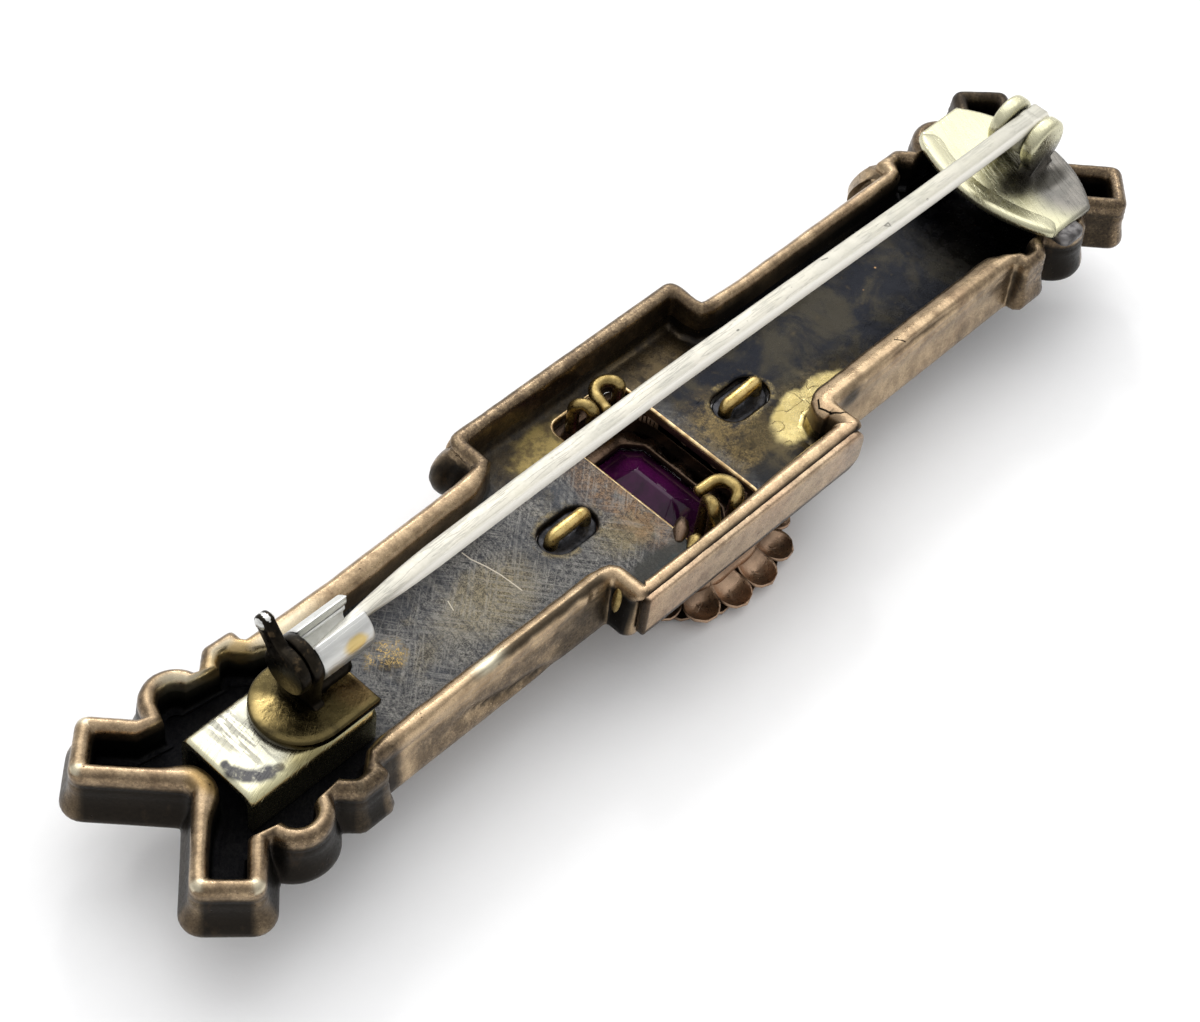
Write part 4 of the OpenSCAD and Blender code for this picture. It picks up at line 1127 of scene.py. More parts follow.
def paint_shell(me):
    """Writes on the shell's points how dark it is there (mostly painted shade, with some patina), how bright with wear
    and painted highlights, and how brown with patina.
    """
    co, no = np.empty(len(me.vertices) * 3), np.empty(len(me.vertices) * 3)
    me.vertices.foreach_get("co", co)
    me.vertex_normals.foreach_get("vector", no)
    co = co.reshape(-1, 3) / MM
    x, y, z = co.T
    # how far the surface looks towards the catch end, and towards the near side, both away from the light
    back, front = -no.reshape(-1, 3).T[:2]
    d = field.at(co[:, :2])
    ax = np.abs(x)
    wall = (d > -0.2) * soft(5.35, 5.15, z)
    # how sharply the outline bends outward beside each point
    slope = field.grad(base)
    turn = np.arctan2(slope[:, 1], slope[:, 0])
    bend = ((np.roll(turn, -3) - np.roll(turn, 3) + math.pi) % TAU - math.pi) / 0.72
    tree = tree_of(base)
    edge = soft(0.8, 1.6, np.array([bend[tree.find((px, py, 0))[1]] for px, py in co[:, :2]]))
    inner = (d < -0.55) * soft(5.6, 5.2, z)
    far = soft(0, 2, y)
    patch = bell(x, 7.9, 0.8) * bell(y, -3.75, 0.5) * bell(z, 5.2, 0.65)
    groove_z, groove = along_groove(x)
    slit = (y < -3.2) * soft(8.9, 10.2, x) * soft(16.9, 15.6, x) * (d > -0.3) * bell(x, 12.8, 2.2)
    dark = np.maximum.reduce([
        # painted shade: walls of the catch end that face away from the light, and the low near walls there
        0.985 * wall * soft(0.25, 0.75, back) * soft(-16, -19, x),
        0.985 * wall * soft(-18.8, -19.6, x) * soft(0.0, 0.5, front),
        (0.45 + 0.45 * wall) * (d > -0.75) * (y < -3.4) * soft(-18.0, -18.6, x) * soft(-21.2, -20.6, x),
        # painted shade: walls facing the catch end at the block and at the hinge end; then a darker stretch of the near
        # left bar's wall
        wall * soft(0.3, 0.8, back) * soft(-9, -7.4, x) * soft(-6.0, -6.6, x),
        wall * 0.8 * soft(0.3, 0.8, back) * soft(17.5, 19, x),
        wall * 0.55 * soft(-10.6, -9.4, x) * (y < -3.2) * (y > -4.4) * soft(-5.5, -7, x),
        # painted shade: the inner walls dark towards the floor and black at the ends, lighter along much of the far
        # side
        inner * (0.75 + 0.25 * soft(14, 18, ax) - 0.35 * far * soft(7.5, 6.5, x) * soft(-18, -14, x)
                 + far * soft(6.8, 7.5, x) * (0.2 - 0.4 * bell(x, 10.8, 1.6))),
        # painted shade: the near lobe of the hinge end, below the solder
        wall * (y < -3.3) * soft(21.5, 21.8, x) * soft(23.7, 23.2, x),
        # painted shade in the seam beside the block; the near left bar's crumpled band, and a patch on the near right
        # bar; painted shade in the groove and in the slit
        soft(-4.7, -5.0, y) * soft(6.9, 6.3, ax) * soft(5.3, 5.5, z) * soft(-0.33, -0.26, d),
        0.86 * (y < -2.9) * soft(-15.5, -13.0, x) * soft(-6.7, -7.4, x) * soft(5.55, 5.68, z) * soft(-0.47, -0.36, d),
        np.clip(1.2 * patch, 0, 0.9) * (d > -0.3),
        0.9 * (y < -3.3) * groove * bell(z, groove_z - 0.03, 0.1),
        0.95 * slit * bell(z, 5.655, 0.055)])
    # less painted shade on the corners, which are worn and catch the light, and on a paler foot under the forked end's
    # dark walls
    ends = soft(17.5, 19, ax)
    dark = dark * (1 - 0.42 * wall * ends * edge) * (1 - 0.3 * wall * ends * soft(3.6, 3.1, z))
    # darker on the far prong of the hinge end, and painted shade on the near step's wall there
    dark = np.maximum.reduce([
        dark, 0.76 * soft(24.0, 25.5, x) * soft(0.5, 2.0, y),
        0.97 * wall * (y < -3.4) * soft(20.6, 20.9, x) * soft(22.3, 22.0, x)])
    # wear and painted highlights: a bright spot on the near left bar, a painted golden highlight on the far step's
    # inner edge, and the prongs' corners a little, both worn and catching the light
    worn = np.maximum.reduce([
        bell(x, -13.4, 0.6) * bell(y, -3.2, 0.3) * soft(5.5, 5.7, z),
        0.5 * soft(-0.3, -0.5, d) * soft(5.0, 5.4, z) * soft(1.8, 2.6, y) * soft(-23.4, -22.4, x)
        * soft(-15.5, -17.5, x),
        0.55 * (np.abs(d + 0.3) < 0.25) * ends * edge * soft(-20, -23, x)])
    # brown patina: the forked ends, the bars, the near left wall, and lightly on the far side
    catch_end = 0.64 + (0.3 - 0.15 * soft(-24.5, -25.5, x)) * soft(-0.3, -0.12, d)
    near_left = (y < -3.2) * soft(-18.5, -17, x) * soft(-6.6, -7.4, x)
    brown = np.maximum.reduce([
        catch_end * soft(-18.2, -19.4, x) + 1.1 * soft(19.0, 20.4, x),
        soft(7.2, 8.4, x) * (y < -2.0) * (0.5 + 0.2 * soft(12, 18, x)),
        0.9 * (y < -3.4) * soft(18.7, 19.3, x),
        0.42 * (y < -3.9) * soft(7.6, 7.0, ax),
        near_left * (0.9 - 0.7 * soft(4.75, 5.15, z)),
        (0.45 + 0.35 * soft(7.4, 6.8, ax)) * soft(2.5, 3.2, y) + 0.15,
        0.95 * (y < -3.0) * soft(-17.4, -18.6, x) * soft(-21.8, -21.2, x)])
    for name, val in (("dark", dark), ("worn", worn), ("brown", brown)):
        me.attributes.new(name, "FLOAT", "POINT").data.foreach_set("value", np.clip(val, 0, 1).astype(np.float32))


def corner_spindle():
    """The brass end of wire that shows in the corner between the near left bar and the block."""
    b = Build()
    path = [(-6.78, -3.98, z) for z in np.linspace(3.7, 5.25, 22)]
    r = [0.06 + 0.2 * math.sin(math.pi * (i + 1) / 24) ** 0.6 for i in range(22)]
    tube(b, path, r, 18)
    b.make("corner_wire", [WIRE], slot="brass_wire")


def lumps():
    """Two small lumps of solder on the window's edge, beside the near ties."""
    b = Build()
    tube(b, [(-2.3, -3.9, 3.9), (-1.95, -3.8, 3.98), (-1.65, -3.68, 3.9)], [0.2, 0.34, 0.2], 16)
    tube(b, [(-2.35, -3.3, 3.85), (-1.95, -3.05, 3.93), (-1.6, -2.8, 3.95), (-1.4, -2.6, 3.85)],
         [0.2, 0.36, 0.28, 0.14], 16, mat=1)
    b.make("solder_lumps", [WIRE, SETTING], slot="brass_wire")


# ---------------------------------------------------------------- side panels
def panel(name, node, turned):
    """The applied sheet on one long side of the block, its two corners towards the hinge rounded."""
    b = Build()
    length, h = 13.35, 2.18
    z0 = TRAY_Z + (0.3 if turned else 0.5)
    x0 = -length / 2
    r = 0.7
    quarter = np.linspace(0, math.pi / 2, 9)
    loop = [(0.0, 0.0)] + arc(r, quarter - math.pi / 2, length - r, r)
    loop += arc(r, quarter, length - r, h - r) + [(0.0, h)]
    plate(b, resample(loop, 0.16), [(-0.05, 0.0), (0.0, 0.05), (0.0, 0.36), (-0.02, 0.42), (-0.07, 0.46)], 0.02, 4)
    out = []
    for u, v, t in b.v:
        x, z = x0 + u, z0 + v
        y = -(BLOCK_W / 2 - 0.4 + 0.02) - t - (0.43 if turned else -0.04)
        if t > 0.3:
            y -= 0.015 * noise.noise(Vector((x * 0.5, z * 0.8, 3.0)))
        out.append((-x, -y, z) if turned else (x, y, z))
    b.v = out
    b.make(name, [PANEL], slot="gilt_panel", nodes=[node])


# ---------------------------------------------------------------- claw setting
CROWN_X, RUN_X, RUN_Y, TURN_R = 0.35, 0.8, 2.1, 3.1
GALLERY_OUT, GALLERY_IN = (6.6, 9.0, 2.2), (5.7, 8.1, 1.75)
PORT_STEP = 1.7


def crown_spots(long_spots, short_spots, turns):
    """Places round the crown's line: (x, y, heading outward)."""
    out = []
    for side in (0, math.pi):
        c, s = math.cos(side), math.sin(side)
        spots = [(RUN_X + TURN_R, t * RUN_Y, 0.0) for t in long_spots]
        spots += [(t * RUN_X, RUN_Y + TURN_R, math.pi / 2) for t in short_spots]
        for t in turns:
            a = math.radians(t)
            spots.append((RUN_X + TURN_R * math.cos(a), RUN_Y + TURN_R * math.sin(a), a))
            spots.append((RUN_X + TURN_R * math.cos(a), -RUN_Y - TURN_R * math.sin(a), -a))
        for x, y, h in spots:
            out.append((CROWN_X + c * x - s * y, s * x + c * y, h + side))
    return out


def petal(b, x, y, heading, rim_z, size, long=1.0, drop=0.16):
    """A spoon shaped petal: a root on the dish, a round hollow bowl and a raised lip."""
    nu, nv = 13, 15
    root = 1.25 * long
    c, s = math.cos(heading), math.sin(heading)
    top, low = [], []
    for i in range(nu):
        u = i / (nu - 1)
        o = u * (root + size) - root
        w = size * (math.sqrt(max(0.0, 1 - (o / size) ** 2)) if o > 0 else 1 - 0.42 * min(1, -o / root) ** 1.6)
        w = max(w, 0.02)
        for j in range(nv):
            v = -1 + 2 * j / (nv - 1)
            t = v * w
            r = math.hypot(max(o, o * 0.55) / size, v * w / size)
            bowl = -0.42 * max(0.0, 1 - r * r)
            rise = 0.62 * max(0.0, -o / 1.25 - 0.15) ** 1.2
            z = rim_z + bowl + rise - drop * max(o, 0) + 0.02 * noise.noise(Vector((x + o, y + t, 4.0)) * 2.3)
            px, py = x + c * o - s * t, y + s * o + c * t
            top.append((px, py, z))
            low.append((px, py, max(z - 0.17, 0.02)))
    n = nu * nv
    faces = []
    for i in range(nu - 1):
        for j in range(nv - 1):
            a = i * nv + j
            faces.append((a, a + 1, a + nv + 1, a + nv))
            faces.append((n + a, n + a + nv, n + a + nv + 1, n + a + 1))
    ring = list(range(nv)) + [i * nv + nv - 1 for i in range(1, nu)]
    ring += [(nu - 1) * nv + j for j in range(nv - 2, -1, -1)] + [i * nv for i in range(nu - 2, 0, -1)]
    for k in range(len(ring)):
        a, d = ring[k], ring[(k + 1) % len(ring)]
        faces.append((a, n + a, n + d, d))
    b.add(top + low, faces)


def loop_at(d):
    """The crown's line, moved inward."""
    r = TURN_R - d
    return round_rect(2 * (RUN_X + r), 2 * (RUN_Y + r), r, CROWN_X, 0, 14)


def setting():
    """The crown: its dish, two rows of petals, the pierced seat and the claws."""
    b = Build()
    # dish: from the gallery wall down to the petals, and up inside
    g_out, g_in = round_rect(*GALLERY_OUT, per=14), round_rect(*GALLERY_IN, per=14)
    levels = [(1.7, 1.62), (1.2, 1.4), (0.85, 1.22), (0.62, 1.02), (0.7, 0.55), (0.8, 0.1), (1.0, 0.0)]
    rows = [(g_out * 0.985, 2.35), (g_out, 2.2)] + [(loop_at(d), z) for d, z in levels]
    rows += [(g_in * 1.02, 0.0), (g_in, 0.25), (g_in, 2.3)]
    b.rings([at_height(*row) for row in rows], wrap=True)
    # upper and lower petals
    for x, y, h in crown_spots([-1, -1 / 3, 1 / 3, 1], [-1, 1], [30, 60]):
        petal(b, x, y, h, 0.86, 0.8)
    for x, y, h in crown_spots([-2 / 3, 0, 2 / 3], [0], [15, 45, 75]):
        petal(b, x - 0.42 * math.cos(h), y - 0.42 * math.sin(h), h, 0.5, 0.82, 0.8, 0.1)
    # pierced seat and claws
    cut = [(1.98, 2.23), (1.35, 2.93), (-1.35, 2.93), (-1.98, 2.23), (-1.98, -2.23), (-1.35, -2.93), (1.35, -2.93),
           (1.98, -2.23)]
    slots = [resample(round_rect(0.62, 1.15, 0.305, x, (i - 1.5) * PORT_STEP + 0.4, 8), 0.12)
             for x in (-2.5, 2.5) for i in range(4)]
    slots = [q for q in slots if abs(q[:, 1]).max() < 3.85]
    pierced(b, resample(round_rect(5.9, 8.3, 1.9), 0.3), [resample(cut, 0.25)] + slots, 1.25, 1.6, 0.5)
    for s in (-1, 1):
        for y in (-PORT_STEP, 0, PORT_STEP):
            x = s * 2.32
            claw = [(x, y, 1.4), (x + 0.02 * s, y, 0.9), (x - 0.04 * s, y, 0.6), (x - 0.3 * s, y, 0.5)]
            tube(b, smooth_path(claw, 0.1), 0.17, 12, flat=1.6)
    b.make("setting_crown", [SETTING], slot="setting_metal", nodes=["claw_setting"])


def gallery():
    """The gallery wall with its row of round ports."""
    b = Build()
    g_out, g_in = round_rect(*GALLERY_OUT, per=16), round_rect(*GALLERY_IN, per=16)
    levels = (1.9, 2.2, 2.6, 3.0, 3.33)
    rows = [(g_out, z) for z in levels] + [(g_out * 0.985, 3.38), (g_in * 1.015, 3.38)]
    rows += [(g_in, z) for z in levels[::-1]]
    b.rings([at_height(*row) for row in rows], wrap=True)
    ob = b.make("setting_gallery", [SETTING], slot="setting_metal")
    port_r = 0.42 * MM
    for i in range(4):
        bm = bmesh.new()
        turn = Matrix.Rotation(math.pi / 2, 4, "Y")
        bmesh.ops.create_cone(bm, cap_ends=True, segments=24, radius1=port_r, radius2=port_r, depth=9 * MM,
                              matrix=Matrix.Translation((0, (i - 1.5) * PORT_STEP * MM, 2.6 * MM)) @ turn)
        me = bpy.data.meshes.new("port_cutter")
        bm.to_mesh(me)
        bm.free()
        cutter = show("port_cutter", me)
        mod = ob.modifiers.new("port", "BOOLEAN")
        mod.operation = "DIFFERENCE"
        mod.solver = "EXACT"
        mod.object = cutter
        cut = bpy.data.meshes.new_from_object(ob.evaluated_get(bpy.context.evaluated_depsgraph_get()))
        ob.modifiers.clear()
        ob.data = cut
        bpy.data.objects.remove(cutter)
    ob.data.polygons.foreach_set("use_smooth", [False] * len(ob.data.polygons))


# ---------------------------------------------------------------- stone
def stone():
    """The source's own stone, with its edges softened."""
    me = NODES["stone"].data.copy()
    me.materials.clear()
    me.materials.append(STONE)
    bm = bmesh.new()
    bm.from_mesh(me)
    bmesh.ops.remove_doubles(bm, verts=bm.verts, dist=1e-7)
    bmesh.ops.dissolve_limit(bm, angle_limit=math.radians(1), verts=bm.verts, edges=bm.edges)
    bmesh.ops.bevel(bm, geom=list(bm.edges), offset=0.035 * MM, segments=2, profile=0.6, affect="EDGES")
    bm.to_mesh(me)
    bm.free()
    me.polygons.foreach_set("use_smooth", [False] * len(me.polygons))
    ob = show("cut_stone", me)
    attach(ob, "brooch")
    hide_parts("stone")


# ---------------------------------------------------------------- brass staples and ties
def staple(name, node, x0, lift_a, lift_b):
    """A staple through one slot, its stud below the floor and the dark metal seen beside it."""
    top = FLOOR_Z + 0.3
    y0 = SLOT_Y
    bends = [(-1.0, 0, 2.9), (-0.98, 0, 3.6), (-0.86, 0.02, top - 0.1 + lift_a), (-0.5, 0, top + lift_a * 0.6),
             (0, -0.01, top + 0.01), (0.5, 0, top + lift_b * 0.6), (0.86, 0.02, top - 0.1 + lift_b), (0.97, 0, 3.6),
             (0.98, 0, 2.9)]
    path = smooth_path([(x0 + x, y0 + y, z) for x, y, z in bends])
    b = Build()
    tube(b, path, [0.31 + 0.018 * noise.noise(p * 1.3) for p in path])
    loop = resample(round_rect(2.9, 1.5, 0.749, x0, y0, 12), 0.16)
    plate(b, loop, [(-0.08, 2.58), (0.0, 2.66), (0.0, 3.26), (-0.08, 3.36)], 0.0, 3, mat=1)
    boss = resample(round_rect(2.8, 1.6, 0.799, x0, y0, 12), 0.12)
    plate(b, boss, [(-0.02, 3.3), (0.0, 3.36), (0.0, 3.6), (-0.03, 3.66), (-0.1, 3.69)], -0.05, 5, mat=2, wob=0.02)
    b.make(name, [WIRE, PAD, INSIDE], slot="brass_wire", nodes=[node])


def tie(name, node, angle, origin, points, uneven, pitch):
    """A bent wire whose points are turned about the upright and set at the origin."""
    c, s = math.cos(math.radians(angle)), math.sin(math.radians(angle))
    path = smooth_path([(origin[0] + x * c - y * s, origin[1] + x * s + y * c, z) for x, y, z in points])
    b = Build()
    tube(b, path, [WIRE_R + uneven * noise.noise(p * pitch) for p in path], 18)
    b.make(name, [WIRE], slot="brass_wire", nodes=[node])


def hook(name, node, angle, origin, up, leg):
    """A tie that stands up and curls over in the flat."""
    z = FLOOR_Z + 0.35 + up
    r = 0.65
    pts = [(r, 0, z - leg), (r, 0, z - 0.6 * leg), (r, 0, z - 0.5), (r + 0.01, 0.02, z - 0.12)]
    pts += [(r * math.cos(a), r * math.sin(a), z + 0.02 * math.sin(a)) for a in np.radians(np.arange(20, 166, 24))]
    end = pts[-1]
    a = math.radians(165)
    for run, drop in ((0.35, 0.0), (0.72, 0.03)):
        pts.append((end[0] - math.sin(a) * run, end[1] + math.cos(a) * run, z - drop))
    tie(name, node, angle, origin, pts, 0.025, 1.7)


def arch(name, node, angle, origin, up, leg):
    """A tie like a croquet hoop."""
    z = FLOOR_Z + 0.35 + up
    r = 0.42
    side = [(r, 0, z - leg), (r, 0, z - 0.6 * leg), (r, 0, z - 0.35)]
    top = [(r * math.cos(a), 0.02 * math.sin(3 * a), z + r * math.sin(a)) for a in np.radians(np.arange(0, 181, 30))]
    tie(name, node, angle, origin, side + top + [(-x, y, h) for x, y, h in side[::-1]], 0.02, 1.9)


# ---------------------------------------------------------------- hinge
LEAF_OUT = (26.05 - 6.0, 0.4, 6.0)
LEAF_IN = (20.6 + 7.5, -0.2, 7.5)


def leaf_loop(near_y, far_y):
    """The leaf between its outer and inner arc, cut blunt at both ends."""
    out = []
    for (cx, cy, r), sign, y0, y1 in ((LEAF_OUT, 1, near_y, far_y), (LEAF_IN, -1, far_y, near_y)):
        a0, a1 = math.asin((y0 - cy) / r), math.asin((y1 - cy) / r)
        out += [(cx + sign * r * math.cos(a), cy + r * math.sin(a)) for a in np.linspace(a0, a1, 50)]
    return np.array(out)


# Turns a plate that was made flat: so that it stands along the bar, and so that it stands across it
ALONG = Matrix(((1, 0, 0), (0, 0, -1), (0, 1, 0)))
ACROSS = Matrix(((0, 0, 1), (1, 0, 0), (0, 1, 0)))


def hinge():
    """The leaf with its rolled inner edge, the two knuckles, and the solder over the near lobe."""
    b = Build()
    z0 = RIM_Z + 0.02
    loop = resample(leaf_loop(-3.93, 4.23), 0.14)
    plate(b, loop, [(-0.05, z0), (0.0, z0 + 0.05), (0.0, z0 + 0.24), (-0.04, z0 + 0.31), (-0.11, z0 + 0.345),
                    (-0.2, z0 + 0.36)], 0.0, 8, wob=0.008)
    cx, cy, r = LEAF_IN
    section = [(-1.1, 0.28), (-0.85, 0.355), (-0.6, 0.41), (-0.3, 0.47), (-0.1, 0.51), (0.05, 0.52), (0.17, 0.47),
               (0.24, 0.37), (0.26, 0.24), (0.22, 0.1), (0.1, 0.02), (-0.3, 0.02)]
    turns = np.linspace(math.radians(-29.5), math.radians(35), 70)
    roll = []
    for a in turns:
        # the roll runs out over its last 0.9 mm
        e = min(1.0, min(a - turns[0], turns[-1] - a) * r / 0.9)
        f = 0.3 + 0.7 * math.sqrt(1 - (1 - e) ** 2)
        radii = [r - 0.02 + (o * f if o > 0 else o) for o, h in section]
        roll.append([(cx - q * math.cos(a), cy + q * math.sin(a), z0 + 0.02 + (h - 0.02) * (0.6 + 0.4 * f))
                     for q, (o, h) in zip(radii, section)])
    b.rings(roll, ends=True)
    knuckle = resample(arc(KNUCKLE_R, np.radians(np.arange(-52, 233, 7.5)))
                       + [(-1.0, -1.5), (-1.02, -1.68), (1.02, -1.68), (1.0, -1.5)], 0.1)
    half = KNUCKLE_W / 2
    edge = [(-0.34, half), (-0.2, half - 0.01), (-0.09, 0.32), (-0.02, 0.23), (0.0, 0.12)]
    for side in (-1, 1):
        start = len(b.v)
        plate(b, knuckle, [(d, -t) for d, t in edge] + edge[::-1], 0.02, 6)
        b.place(ALONG, (HINGE_X, PIN_Y + side * (STEM_W / 2 + HINGE_GAP + half), HINGE_Z), start)
    lump = resample(round_rect(1.55, 1.7, 0.4, 22.45, -3.68, 6), 0.1)
    plate(b, lump, [(0.0, 5.62), (0.0, 5.8), (-0.03, 5.93), (-0.12, 6.02), (-0.25, 6.07)], 0.03, 5, mat=1, wob=0.05,
          seed=2.0)
    b.make("hinge_leaf", [LEAF, SOLDER], slot="white_metal", nodes=["hinge_plate"])


def rivet():
    """The rivet through the knuckles and the stem's eye."""
    b = Build()
    half = STEM_W / 2 + HINGE_GAP + KNUCKLE_W - 0.01
    end = [(0.0, half), (RIVET_R - 0.14, half), (RIVET_R - 0.04, half - 0.03), (RIVET_R, half - 0.09)]
    profile = [(r, -t) for r, t in end] + end[::-1]
    turns = TAU * np.arange(24) / 24
    b.rings([[(x, PIN_Y + t, z) for x, z in arc(r, turns, HINGE_X, HINGE_Z)] for r, t in profile])
    b.make("hinge_pivot", [LEAF], slot="white_metal", nodes=["hinge_rivet"])


# ---------------------------------------------------------------- pin stem
# Along the stem: x, half width, half height, rise of the bow
STATIONS = np.array([
    (-19.05, 0.08, 0.08, 0.0),
    (-14.0, 0.456, 0.336, 0.3),
    (-8.0, 0.475, 0.35, 0.45),
    (0.0, 0.475, 0.35, 0.5),
    (8.0, 0.475, 0.35, 0.3),
    (16.0, 0.475, 0.35, 0.05),
    (25.26, 0.475, 0.35, 0.0)])


def stem():
    """The flat topped stem: a row of twelve sided sections, closed at both ends, and the round eye."""
    b = Build()
    xs = np.concatenate([[-19.05, -19.03, -18.98], np.linspace(-18.8, 25.2, 150), [25.24, 25.26]])
    # the first two sections and the last two are drawn in, which rounds the ends
    shrink = dict(zip([0, 1, len(xs) - 2, len(xs) - 1], [0.25, 0.7, 0.99, 0.96]))
    rings = []
    for i, x in enumerate(xs):
        hw, hh, rise = (np.interp(x, STATIONS[:, 0], col) for col in STATIONS[:, 1:].T)
        if x > -17.5:
            around = x + np.array([-1.2, -0.6, 0.0, 0.6, 1.2])
            smooth = [np.interp(around, STATIONS[:, 0], col).mean() for col in STATIONS[:, 1:].T]
            hw, hh, rise = min(hw, smooth[0]), min(hh, smooth[1]), smooth[2]
        hw, hh = hw * shrink.get(i, 1.0), hh * shrink.get(i, 1.0)
        c = min(0.15, 0.42 * hh)
        g = 0.35 * c
        side = [(hw, -hh + 2 * c), (hw, hh - c), (hw - g, hh - g), (hw - c, hh)]
        ring = side + [(-u, v) for u, v in side[::-1]] + [
            (-hw + 0.7 * c, -hh + 0.5 * c), (-hw + 2 * c, -hh), (hw - 2 * c, -hh), (hw - 0.7 * c, -hh + 0.5 * c)]
        rings.append([(x, PIN_Y + u, STEM_Z + rise + v + 0.006 * noise.noise(Vector((x * 1.1, 3 * u, 3 * v))))
                      for u, v in ring])
    b.rings(rings, ends=True)
    start = len(b.v)
    half = STEM_W / 2
    edge = [(-0.08, half), (-0.02, half - 0.06), (0.0, half - 0.14)]
    eye = np.array(arc(EYE_R, TAU * np.arange(48) / 48))
    plate(b, eye, [(d, -t) for d, t in edge] + edge[::-1], 0.0, 4)
    b.place(ALONG, (HINGE_X, PIN_Y, HINGE_Z), start)
    b.make("stem_needle", [PIN], slot="pin_metal", nodes=["pin_stem"], body="pin")


# ---------------------------------------------------------------- catch
def strip():
    """The bright strip: a bent sheet, its long edges folded down to the floor."""
    b = Build()
    x0, x1 = -23.95, -17.9
    y0, half = -0.05, 1.95
    top, t, foot = RIM_Z + 0.08, 0.3, FLOOR_Z + 0.02
    r = 0.5
    outer = [(half - 0.02, foot), (half, foot + 0.08), (half, 4.9)]
    outer += arc(r, np.radians(np.arange(0, 91, 18)), half - r, top - r)
    outer += [(y, top + 0.02 * math.cos(y * 1.2)) for y in np.linspace(half - r - 0.15, 0, 6)]
    outer += [(-y, z) for y, z in outer[::-1][1:]]
    inner = [(y * (half - t) / half, min(z - t, top - t) if z > foot + 0.2 else z) for y, z in outer[::-1]]
    rings = []
    for x in np.linspace(x0, x1, 26):
        shrink = 0.03 * max(0, 1 - min(x - x0, x1 - x) / 0.2)
        drop = shrink - 0.02 * math.sin((x - x0) * 0.9)
        rings.append([(x, y0 + y * (1 - shrink * 0.3), z - (drop if z > 5 else 0)) for y, z in outer + inner])
    b.rings(rings)
    n = len(rings[0])
    for ring in (rings[0], rings[-1]):
        b.add(ring, [(i, i + 1, n - 2 - i, n - 1 - i) for i in range(len(outer) - 1)])
    b.make("catch_strip", [STRIP], slot="bright_plate", nodes=["catch_plate"])


def c_section(r_out, r_in, n_out, n_in, lip=()):
    """A ring open at the top, with a lip between its outer and its inner round on each side of the mouth."""
    a_out, a_in = math.acos(MOUTH_HALF / r_out), math.acos(MOUTH_HALF / r_in)
    out = arc(r_out, np.linspace(math.pi - a_out, TAU + a_out, n_out)) + list(lip)
    return out + arc(r_in, np.linspace(TAU + a_in, math.pi - a_in, n_in)) + [(-y, z) for y, z in lip[::-1]]


def catch():
    """The pad with its round end, the upright cheek, the web and the open topped sleeve."""
    b = Build()
    z0 = RIM_Z + 0.1
    cx, cy, r, end = -19.95, -0.05, 1.93, -17.7
    pad = [(end, cy + r)] + arc(r, np.linspace(math.pi / 2, 3 * math.pi / 2, 40), cx, cy) + [(end, cy - r)]
    plate(b, resample(pad, 0.12), [(-0.04, z0), (0.0, z0 + 0.05), (0.0, z0 + 0.32), (-0.03, z0 + 0.39),
                                   (-0.1, z0 + 0.42)], 0.0, 7, wob=0.03, seed=4.0)
    start = len(b.v)
    cheek = arc(SLEEVE_R, np.radians(np.arange(-10, 191, 8)), 0, STEM_Z - z0)
    cheek += [(-0.98, 1.0), (-1.0, 0.55), (-1.2, 0.40), (1.2, 0.40), (1.0, 0.55), (0.98, 1.0)]
    plate(b, resample(cheek, 0.12), [(-0.06, -0.25), (0.0, -0.19), (0.0, 0.19), (-0.06, 0.25)], 0.0, 4, mat=1)
    b.place(ACROSS, (CHEEK_X, PIN_Y, z0), start)
    web = resample(round_rect(1.75, 0.85, 0.3, -18.5, PIN_Y, 6), 0.12)
    plate(b, web, [(0.3, z0 + 0.40), (0.14, z0 + 0.48), (0.04, z0 + 0.62), (0.0, z0 + 0.85), (0.0, 7.2)], 0.0, 3, mat=1)
    lip = [(MOUTH_HALF + 0.03, 0.86), (MOUTH_HALF, 0.72)]
    sleeve = ccw(resample(c_section(SLEEVE_R, SLEEVE_IN, 54, 44, lip), 0.07))
    nrm = normals2d(sleeve)
    x0, x1 = SLEEVE_X0, SLEEVE_X1
    stops = [(x0, -0.03), (x0 + 0.02, 0.0)] + [(x, 0.0) for x in np.linspace(x0 + 0.2, x1 - 0.2, 8)]
    stops += [(x1 - 0.06, 0.0), (x1 - 0.015, -0.03), (x1, -0.08)]
    rings = [[(x, PIN_Y + y, STEM_Z + z) for y, z in sleeve + nrm * d] for x, d in stops]
    b.rings(rings, 2)
    b.cap(rings[0], 2)
    b.cap(rings[-1], 2, flip=True)
    b.make("catch_stand", [PAD, LEVER, SLEEVE], slot="catch_metal", nodes=["catch_body"])


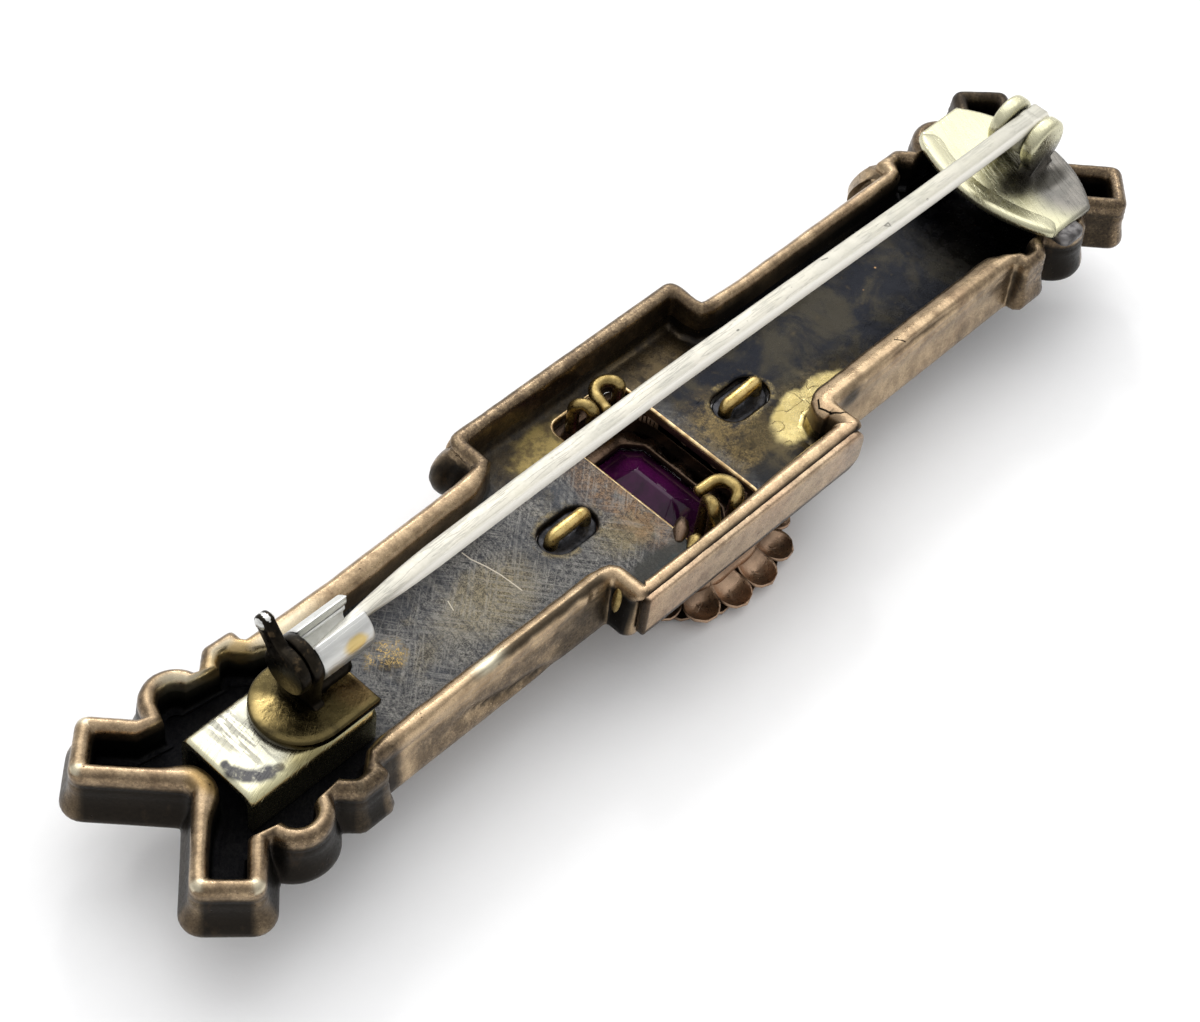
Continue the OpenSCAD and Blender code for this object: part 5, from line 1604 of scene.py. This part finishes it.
def lever():
    """The lever's disc and tongue, the worn ball at its tip, its axle and the inner shell in the sleeve."""
    b = Build()
    face = (LEVER_X, PIN_Y, STEM_Z)
    reach, w = TONGUE_REACH, TONGUE_HALF
    # disc and tongue in one outline, in the lever's own plane
    neck = math.asin(0.45) + 0.12
    outline = arc(w, np.linspace(0, math.pi, 12), 0, reach - w) + [(-w, 1.25), (-0.45, 0.95)]
    outline += arc(1.04, np.linspace(neck, TAU - neck, 46) + math.pi / 2) + [(0.45, 0.95), (w, 1.25)]
    outline = ccw(resample(outline, 0.1))
    nrm = normals2d(outline)
    rings = [[(-t, y, z) for y, z in outline + nrm * d]
             for d, t in [(-0.07, 0.0), (-0.02, 0.03), (0.0, 0.1), (0.0, 0.4), (-0.03, 0.47), (-0.09, 0.5)]]
    b.rings(rings)
    b.cap(rings[0], flip=True)
    b.cap(rings[-1])
    ball = [(0.02, -0.3), (0.16, -0.28), (0.27, -0.2), (0.35, -0.08), (w, 0.04), (0.35, 0.17), (0.27, 0.28),
            (0.15, 0.35), (0.02, w)]
    turns = TAU * np.arange(24) / 24
    b.rings([[(x, y, reach - w + h) for x, y in arc(r, turns, -0.25)] for r, h in ball], 1, ends=True)
    b.place(Matrix.Rotation(-LEVER_LEAN, 3, "X"), face, 0)
    tube(b, [(x, PIN_Y, STEM_Z) for x in (LEVER_X - 0.2, -19.6, -19.3)], 0.29, round_ends=False)
    shell_c = c_section(SHELL_OUT, SHELL_IN, 40, 34)
    stations = np.linspace(SLEEVE_X0 + 0.04, SLEEVE_X1 - 0.12, 6)
    rings = [[(x, PIN_Y + u, STEM_Z + v) for u, v in shell_c] for x in stations]
    b.rings(rings, 2)
    for ring in (rings[0], rings[-1]):
        b.cap(ring, 2)
    b.make("catch_tongue", [LEVER, SLEEVE, BRIGHT], slot="lever_metal", nodes=["catch_lever"], body="lever")


# ---------------------------------------------------------------- floor, light
def stage():
    """The white table."""
    me = bpy.data.meshes.new("table")
    s = 1.5
    me.from_pydata([(-s, -s, 0), (s, -s, 0), (s, s, 0), (-s, s, 0)], [], [(0, 1, 2, 3)])
    m = Mat("table_white")
    n = m.noise(0.8, 3)
    m.bump(n, 0.03)
    m.col = m.mix(n, (0.93, 0.93, 0.93), (0.96, 0.96, 0.96))
    me.materials.append(m.done(0.6, 0.0))
    show("table", me)


def area(name, loc, size, power):
    """A lamp that looks at the origin."""
    d = bpy.data.lights.new(name, "AREA")
    d.shape = "RECTANGLE"
    d.size, d.size_y = size
    d.energy = power
    ob = show(name, d)
    ob.location = loc
    ob.rotation_euler = (-Vector(loc)).to_track_quat("-Z", "Y").to_euler()


def lights():
    """A white room, brightest overhead and behind, with a wide lamp and a small one."""
    w = bpy.data.worlds.new("studio")
    bpy.context.scene.world = w
    w.use_nodes = True
    t = w.node_tree
    bg = t.nodes["Background"]
    tc = t.nodes.new("ShaderNodeTexCoord")
    slope = t.nodes.new("ShaderNodeVectorMath")
    slope.operation = "DOT_PRODUCT"
    t.links.new(tc.outputs["Generated"], slope.inputs[0])
    slope.inputs[1].default_value = (0.34, 0.42, 0.84)
    ramp = t.nodes.new("ShaderNodeValToRGB")
    t.links.new(slope.outputs["Value"], ramp.inputs[0])
    set_stops(ramp, [(0.0, (0.52, 0.52, 0.525)), (0.95, (1.0, 1.0, 1.0))]
              + [(pos, (v, v, v * 1.01)) for pos, v in ((0.3, 0.66), (0.6, 0.86))])
    t.links.new(ramp.outputs[0], bg.inputs[0])
    bg.inputs[1].default_value = 1.1
    area("key", (0.16, 0.22, 0.36), (0.6, 0.5), 1.0)
    area("spark", (0.16, 0.21, 0.23), (0.04, 0.04), 0.11)


shell()
corner_spindle()
lumps()
panel("side_panel_near", "panel_near", False)
panel("side_panel_far", "panel_far", True)
setting()
gallery()
stone()
staple("wire_staple_left", "staple_left", -SLOT_X, -0.06, 0.02)
staple("wire_staple_right", "staple_right", SLOT_X, -0.05, 0.1)
hook("tie_wire_near_hook", "tie_near_hook", -80, (0.55, -3.0), 0.0, SEAT_LEG)
arch("tie_wire_near_arch", "tie_near_loop", 65, (-0.5, -3.3), 0.0, SEAT_LEG)
hook("tie_wire_far_hook", "tie_far_hook", 3, (0.8, 3.6), 0.4, SEAT_LEG + 0.4)
arch("tie_wire_far_arch", "tie_far_loop", 115, (-0.8, 3.6), 0.4, 1.28)
hinge()
rivet()
stem()
strip()
catch()
lever()
stage()
lights()
bpy.context.scene.view_settings.view_transform = "Standard"
